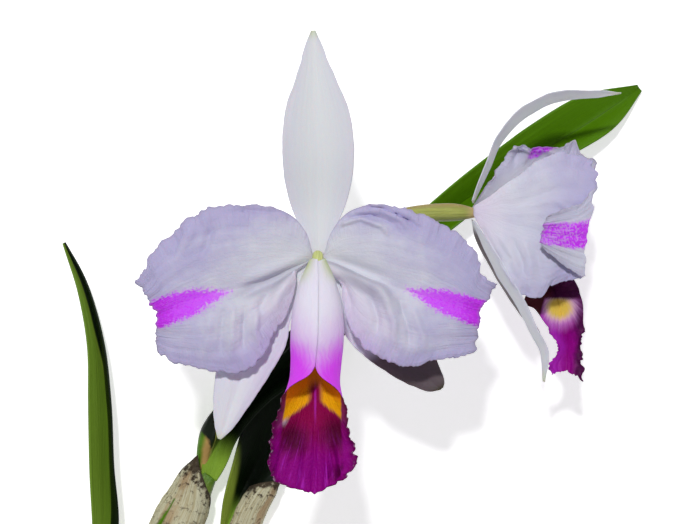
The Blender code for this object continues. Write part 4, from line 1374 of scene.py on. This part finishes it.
class ORCHID_OT_front_lip(bpy.types.Operator):
    """Rolled and frilled lip of the front flower, with the column in it"""

    bl_idname = "orchid.front_lip"
    bl_label = "Front lip"

    def execute(self, context):
        sizes = context.scene.orchid_sizes

        def relief(across, along, point):
            return ease(along, 0.6, 0.7) * fold_lift(point, LIP_FOLDS)

        grid = raised(lip_grid(*FRONT_LIP, rows=150, columns=96), relief)
        wave, fray = sizes.lip_wave / MM, sizes.lip_fray / MM
        grid = frilled(grid, reach=0.3, wave=wave, fray=fray, scale=3.6, seed=8.0, start=0.56)
        faces = (front_lip_inside("lip_inside"), lip_outside("lip_outside"))
        sheet("front_lip", grid, sizes.lip, faces, "lip_magenta", FRONT_FLOWER, thin_edge=0.35)
        add_column("front_column", FRONT_COLUMN, FRONT_LIP, FRONT_FLOWER)
        return {"FINISHED"}


class ORCHID_OT_side_petals(bpy.types.Operator):
    """Petals of the side flower, the near one with its margin folded over"""

    bl_idname = "orchid.side_petals"
    bl_label = "Side petals"

    def execute(self, context):
        sizes = context.scene.orchid_sizes
        back = petal_back("petal_back")

        def relief(across, along, point):
            fan = noise.noise(Vector((across * 8, along * 2.0, 21.0)))
            folded = (1 - ease(along, 0.6, 0.7)) * fold_lift(point, NEAR_PETAL_FOLDS)
            uneven = 0.5 * sway(point, 6.0, 4.0) * ease(along, 0.2, 0.6)
            return 0.45 * fan * ease(along, 0.1, 0.4) + folded + uneven

        near = raised(guided_grid(*NEAR_PETAL, rows=100, columns=90, belly=1.5), relief)
        ruffle, place, depth = NEAR_CREST
        for i, row in enumerate(near):
            crest = swell(i / (len(near) - 1), *NEAR_CREST_ALONG)
            for point in row:
                ripple = math.cos((point.y - place) / ruffle * math.tau) * ease(point.y, 4.0, 9.0)
                point.x += depth * crest * (ripple + 1.4 * sway(point, 3.4, 31.0))
        wave, fray = sizes.petal_wave / MM, sizes.petal_fray / MM
        near = frilled(near, reach=0.22, wave=wave, fray=0.7 * fray, scale=6.0, seed=13.0)
        flap = petal_front("near_petal_look", NEAR_FLAME, 0.05, tone=0.5, dense=(0.95, 0.6), net=0.6)
        sheet("side_near_petal", near, sizes.tepal, (back, flap), "petal_white", SIDE_FLOWER)
        far = guided_grid(*FAR_PETAL, rows=84, columns=110, belly=0.0)
        left_end, right_end = FAR_CREST_SPAN
        lift, *roll = FAR_ROLL
        for i, row in enumerate(far):
            along = i / (len(far) - 1)
            for point in row:
                point.y += along**5 * between(FAR_CREST, (point.x - left_end) / (right_end - left_end))
                point.z += lift * swell(along, *roll)
        far = raised(far, lambda across, along, point: 0.6 * fold_lift(point, FAR_PETAL_FOLDS))
        far = frilled(far, reach=0.25, wave=wave, fray=0.8 * fray, scale=8.0, seed=17.0)
        inner = petal_front("side_petal_look", FAR_FLAME, 0.27, tone=0.45, dense=(0.9, 1.1), net=0.5)
        sheet("side_far_petal", far, sizes.tepal, (inner, back), "petal_white", SIDE_FLOWER)
        return {"FINISHED"}


class ORCHID_OT_side_sepals(bpy.types.Operator):
    """Sepals of the side flower, seen on edge"""

    bl_idname = "orchid.side_sepals"
    bl_label = "Side sepals"

    def execute(self, context):
        fresh = (sepal_finish("sepal_look"),)
        shaded = (sepal_finish("shaded_sepal_look", 0.0),)
        for node, blade, faces, seed in (
            ("side_dorsal_sepal", SIDE_DORSAL, fresh, 5.0), ("side_near_sepal", NEAR_SEPAL, fresh, 7.0),
            ("side_far_sepal", FAR_SEPAL, shaded, 9.0),
        ):
            grid = blade_grid(*blade, rows=90, columns=30)
            grid = frilled(grid, reach=0.3, wave=0.5, fray=0.25, scale=12.0, seed=seed)
            sheet(node, grid, context.scene.orchid_sizes.tepal, faces, "petal_white", SIDE_FLOWER)
        return {"FINISHED"}


class ORCHID_OT_side_lip(bpy.types.Operator):
    """Lip and column of the side flower"""

    bl_idname = "orchid.side_lip"
    bl_label = "Side lip"

    def execute(self, context):
        sizes = context.scene.orchid_sizes
        rows = 150
        grid = lip_grid(*SIDE_LIP, rows, columns=90)
        shown = round(rows * (1 - SIDE_LIP_OPENS))
        for i, row in enumerate(guided_grid(*SIDE_LIP_END, shown, columns=90, belly=0.0)):
            opened = ease(i / shown, 0.0, 0.12)
            tube_row = grid[rows - shown + i]
            tube_row[:] = [point.lerp(open_point, opened) for point, open_point in zip(tube_row, row)]
        wave, fray = sizes.lip_wave / MM, sizes.lip_fray / MM
        grid = frilled(grid, reach=0.25, wave=wave, fray=fray, scale=4.2, seed=15.0, start=0.55)
        faces = (side_lip_inside("side_lip_inside"), lip_outside("lip_outside"))
        sheet("side_lip", grid, sizes.lip, faces, "lip_magenta", SIDE_FLOWER, thin_edge=0.6)
        add_column("side_column", SIDE_COLUMN, SIDE_LIP, SIDE_FLOWER)
        return {"FINISHED"}


class ORCHID_OT_stems(bpy.types.Operator):
    """Flower stem and the two stalks with their ovaries"""

    bl_idname = "orchid.stems"
    bl_label = "Stems"

    def execute(self, context):
        green = context.scene.orchid_colours.stem
        # Brown on the ovary's upper flank, painted shade in olive on the lower one
        flanks = (srgb(136, 96, 52), srgb(84, 96, 26))
        ovary = stalk_finish("ovary_look", green, srgb(206, 176, 128), flanks=flanks)

        def ribbed(turn, at):
            return 1 + 0.05 * math.cos(3 * turn) * ease(at, 0.3, 0.9)

        plain = stalk_finish("stem_look", green, green)
        for node, stem, sides, rings, finish, shape in (
            ("flower_stem", PEDUNCLE, 24, 80, plain, None),
            ("front_pedicel", FRONT_PEDICEL, 28, 60, ovary, ribbed),
            ("side_pedicel", SIDE_PEDICEL, 28, 80, ovary, ribbed),
        ):
            tube(node, *stem, sides, rings, finish, "stem_green", shape)
        return {"FINISHED"}


class ORCHID_OT_leaves(bpy.types.Operator):
    """Three folded strap leaves"""

    bl_idname = "orchid.leaves"
    bl_label = "Leaves"

    def execute(self, context):
        shades = context.scene.orchid_colours
        # Deep green painted shade covers the tall leaf's lower part, most of the middle leaf and one side
        # of the left leaf's fold
        under = leaf_finish("leaf_under_look", shades.leaf_under, -0.3, -0.1)
        middle = leaf_finish("middle_leaf_look", shades.leaf, 0.8, 1.2, lit_side=(0.0, -0.3))
        left = leaf_finish("left_leaf_look", shades.leaf_olive, -0.2, 0.1, shaded_side=(0.28, 0.42))
        for node, blade, rows, face in (
            ("tall_leaf", TALL_LEAF, 140, leaf_finish("tall_leaf_look", shades.leaf, 0.42, 0.62)),
            ("middle_leaf", MIDDLE_LEAF, 90, middle), ("left_leaf", LEFT_LEAF, 110, left),
        ):
            grid = blade_grid(*blade, rows, columns=32, softness=0.1)
            thickness = context.scene.orchid_sizes.leaf
            sheet(node, grid, thickness, (face, under), "stem_green", ON_PLANT, thin_edge=0.4)
        return {"FINISHED"}


class ORCHID_OT_bulbs(bpy.types.Operator):
    """Three ribbed pseudobulbs"""

    bl_idname = "orchid.bulbs"
    bl_label = "Bulbs"

    def execute(self, context):
        shades = context.scene.orchid_colours
        skin = stalk_finish("bulb_look", shades.bulb, shades.leaf, srgb(96, 92, 44))

        def grooved(turn, at):
            return 1 + 0.035 * math.cos(9 * turn + 2 * at) * math.sin(math.pi * at) - 0.035

        for node, bulb, rings in (
            ("tall_bulb", TALL_BULB, 110), ("middle_bulb", MIDDLE_BULB, 80), ("left_bulb", LEFT_BULB, 70),
        ):
            tube(node, *bulb, sides=54, rings=rings, material=skin, slot="stem_green", shape=grooved)
        return {"FINISHED"}


class ORCHID_OT_sheaths(bpy.types.Operator):
    """Dry sheaths round the bulbs and the green one round the flower stem's foot"""

    bl_idname = "orchid.sheaths"
    bl_label = "Sheaths"

    def execute(self, context):
        dry = ((dry_finish("dry_sheath_look"),), "dry_sheath", 0.3)
        green = ((spathe_finish("spathe_look"),), "stem_green", 0.1)
        rolled = [
            ("tall_sheath", TALL_SHEATH, dry), ("middle_sheath", MIDDLE_SHEATH, dry),
            ("flower_sheath", FLOWER_SHEATH, green),
        ]
        span = (BASE_SHEATH_TOP - BASE_SHEATH_FOOT) / BASE_SHEATH_STEPS
        steps = [BASE_SHEATH_FOOT + span * i for i in range(BASE_SHEATH_STEPS + 1)]
        for node, (bulb_axis, bulb_radii) in (
            ("tall_base_sheath", TALL_BULB), ("middle_base_sheath", MIDDLE_BULB),
            ("left_base_sheath", LEFT_BULB),
        ):
            axis = [between(bulb_axis, at) for at in steps]
            radii = [between(bulb_radii, at) + BASE_SHEATH_LIFT for at in steps]
            rolled.append((node, (axis, radii, *BASE_SHEATH), dry))
        for order, (node, shape, (faces, slot, crumple)) in enumerate(rolled):
            def relief(across, along, point, crumple=crumple, order=order):
                return crumple * sway(point, 4.0, order) * ease(along, 0.0, 0.3) - 0.7 * slit_at(point)

            grid = raised(sheath_grid(*shape, rows=60, columns=56), relief)
            sheet(
                node, grid, context.scene.orchid_sizes.sheath, faces, slot, ON_PLANT, front=shape[2],
                thin_edge=0.5, mark=slit_at,
            )
        return {"FINISHED"}


class ORCHID_OT_rhizome(bpy.types.Operator):
    """Rhizome and its trimmed roots"""

    bl_idname = "orchid.rhizome"
    bl_label = "Rhizome and roots"

    def execute(self, context):
        shades = context.scene.orchid_colours
        wood = wood_finish("rhizome_look", shades.wood, shades.dry)
        velvet = wood_finish("root_look", shades.root, srgb(120, 128, 70))

        def ringed(turn, at):
            rough = noise.noise(Vector((math.cos(turn) * 2, math.sin(turn) * 2, at * 9)))
            return 1 + 0.05 * math.sin(at * 60) + 0.04 * rough

        slot = "rhizome_brown"
        tube("rhizome", *RHIZOME, sides=36, rings=90, material=wood, slot=slot, shape=ringed)
        middle = sum(ROOT_STARTS) / len(ROOT_STARTS)
        for i, (start, run) in enumerate(zip(ROOT_STARTS, ROOT_LENGTHS)):
            lean = (start - middle) * ROOT_FAN
            path = [
                (start + lean * aside, RHIZOME_FRONT - ahead, height) for aside, ahead, height in ROOT_KNEE
            ]
            knee, knee_ahead, _ = ROOT_KNEE[-1]
            for part in (0.25, 0.5, 0.75, 1.0):
                wander = ROOT_WIGGLE * math.sin(7.0 * part + 2.4 * i) * (1 - 0.5 * part)
                right = start + lean * (knee + (1 - knee) * part) + wander
                front = RHIZOME_FRONT - knee_ahead - (run - ROOT_DROP) * part
                path.append((right, front, TABLE_SEAT))

            def knobbly(turn, at, i=i):
                rough = noise.noise(Vector((math.cos(turn), math.sin(turn) + i * 3, at * 7)))
                return 1 + 0.08 * rough - 0.03

            radii = (ROOT_RADIUS, ROOT_RADIUS)
            tube(f"root_{i + 1}", path, radii, 18, 44, velvet, slot, shape=knobbly)
        return {"FINISHED"}


class ORCHID_OT_stage(bpy.types.Operator):
    """Pale floor, soft light and the camera over the flowers"""

    bl_idname = "orchid.stage"
    bl_label = "Stage"

    def execute(self, context):
        scene = context.scene
        white = (1.0, 1.0, 1.0, 1.0)
        bpy.ops.object.select_all(action="DESELECT")
        bpy.ops.mesh.primitive_plane_add(size=FLOOR_SIZE)
        floor = context.object
        floor.name = "floor"
        look = Look(
            "floor_look", roughness=0.9, specular_ior_level=0.1, emission_strength=0.5, emission_color=white
        )
        dust = look.grain(3.0, 2.0) * 0.04
        look.enter(look.mixed(dust, scene.orchid_colours.floor, srgb(232, 232, 234)), "Base Color")
        floor.data.materials.append(look.material)
        world = bpy.data.worlds.new("soft_room")
        world.use_nodes = True
        room = world.node_tree.nodes["Background"]
        room.inputs["Color"].default_value = white
        room.inputs["Strength"].default_value = ROOM_LIGHT
        scene.world = world
        bpy.ops.object.light_add(type="SUN", location=SUN_PLACE)
        sun = context.object
        sun.name = "key_light"
        sun.data.energy = SUN_POWER
        sun.data.angle = math.radians(SUN_SOFTNESS)
        sun.rotation_mode = "QUATERNION"
        sun.rotation_quaternion = Vector(SUN_FROM).to_track_quat("Z", "Y")
        camera_data = bpy.data.cameras.new("camera")
        camera_data.sensor_width = SENSOR_WIDTH
        camera_data.lens = SENSOR_WIDTH * CAMERA_DISTANCE / CAMERA_FIELD
        camera_data.clip_end = VIEW_END
        camera = bpy.data.objects.new("camera", camera_data)
        camera.location = (CAMERA_AIM + PLANT_SHIFT + Vector((0, 0, CAMERA_DISTANCE))) * MM
        scene.collection.objects.link(camera)
        scene.camera = camera
        scene.view_settings.view_transform = "Standard"
        return {"FINISHED"}


class ORCHID_PT_builder(bpy.types.Panel):
    """Lists the operators and the settings"""

    bl_idname = "ORCHID_PT_builder"
    bl_label = "Cattleya orchid"
    bl_space_type = "VIEW_3D"
    bl_region_type = "UI"
    bl_category = "Orchid"

    def draw(self, context):
        for operator in OPERATORS:
            self.layout.operator(operator.bl_idname)
        for group in (context.scene.orchid_sizes, context.scene.orchid_colours):
            for name in group.__annotations__:
                self.layout.prop(group, name)


OPERATORS = (
    ORCHID_OT_stage, ORCHID_OT_front_petals, ORCHID_OT_front_sepals, ORCHID_OT_front_lip,
    ORCHID_OT_side_petals, ORCHID_OT_side_sepals, ORCHID_OT_side_lip, ORCHID_OT_stems,
    ORCHID_OT_leaves, ORCHID_OT_bulbs, ORCHID_OT_sheaths, ORCHID_OT_rhizome,
)
CLASSES = (OrchidSizes, OrchidColours, *OPERATORS, ORCHID_PT_builder)


def register():
    for each in CLASSES:
        bpy.utils.register_class(each)
    bpy.types.Scene.orchid_sizes = PointerProperty(type=OrchidSizes)
    bpy.types.Scene.orchid_colours = PointerProperty(type=OrchidColours)


def unregister():
    del bpy.types.Scene.orchid_colours
    del bpy.types.Scene.orchid_sizes
    for each in reversed(CLASSES):
        bpy.utils.unregister_class(each)


def main():
    register()
    for operator in OPERATORS:
        name = operator.bl_idname.split(".")[1]
        getattr(bpy.ops.orchid, name)()


if __name__ == "__main__":
    main()
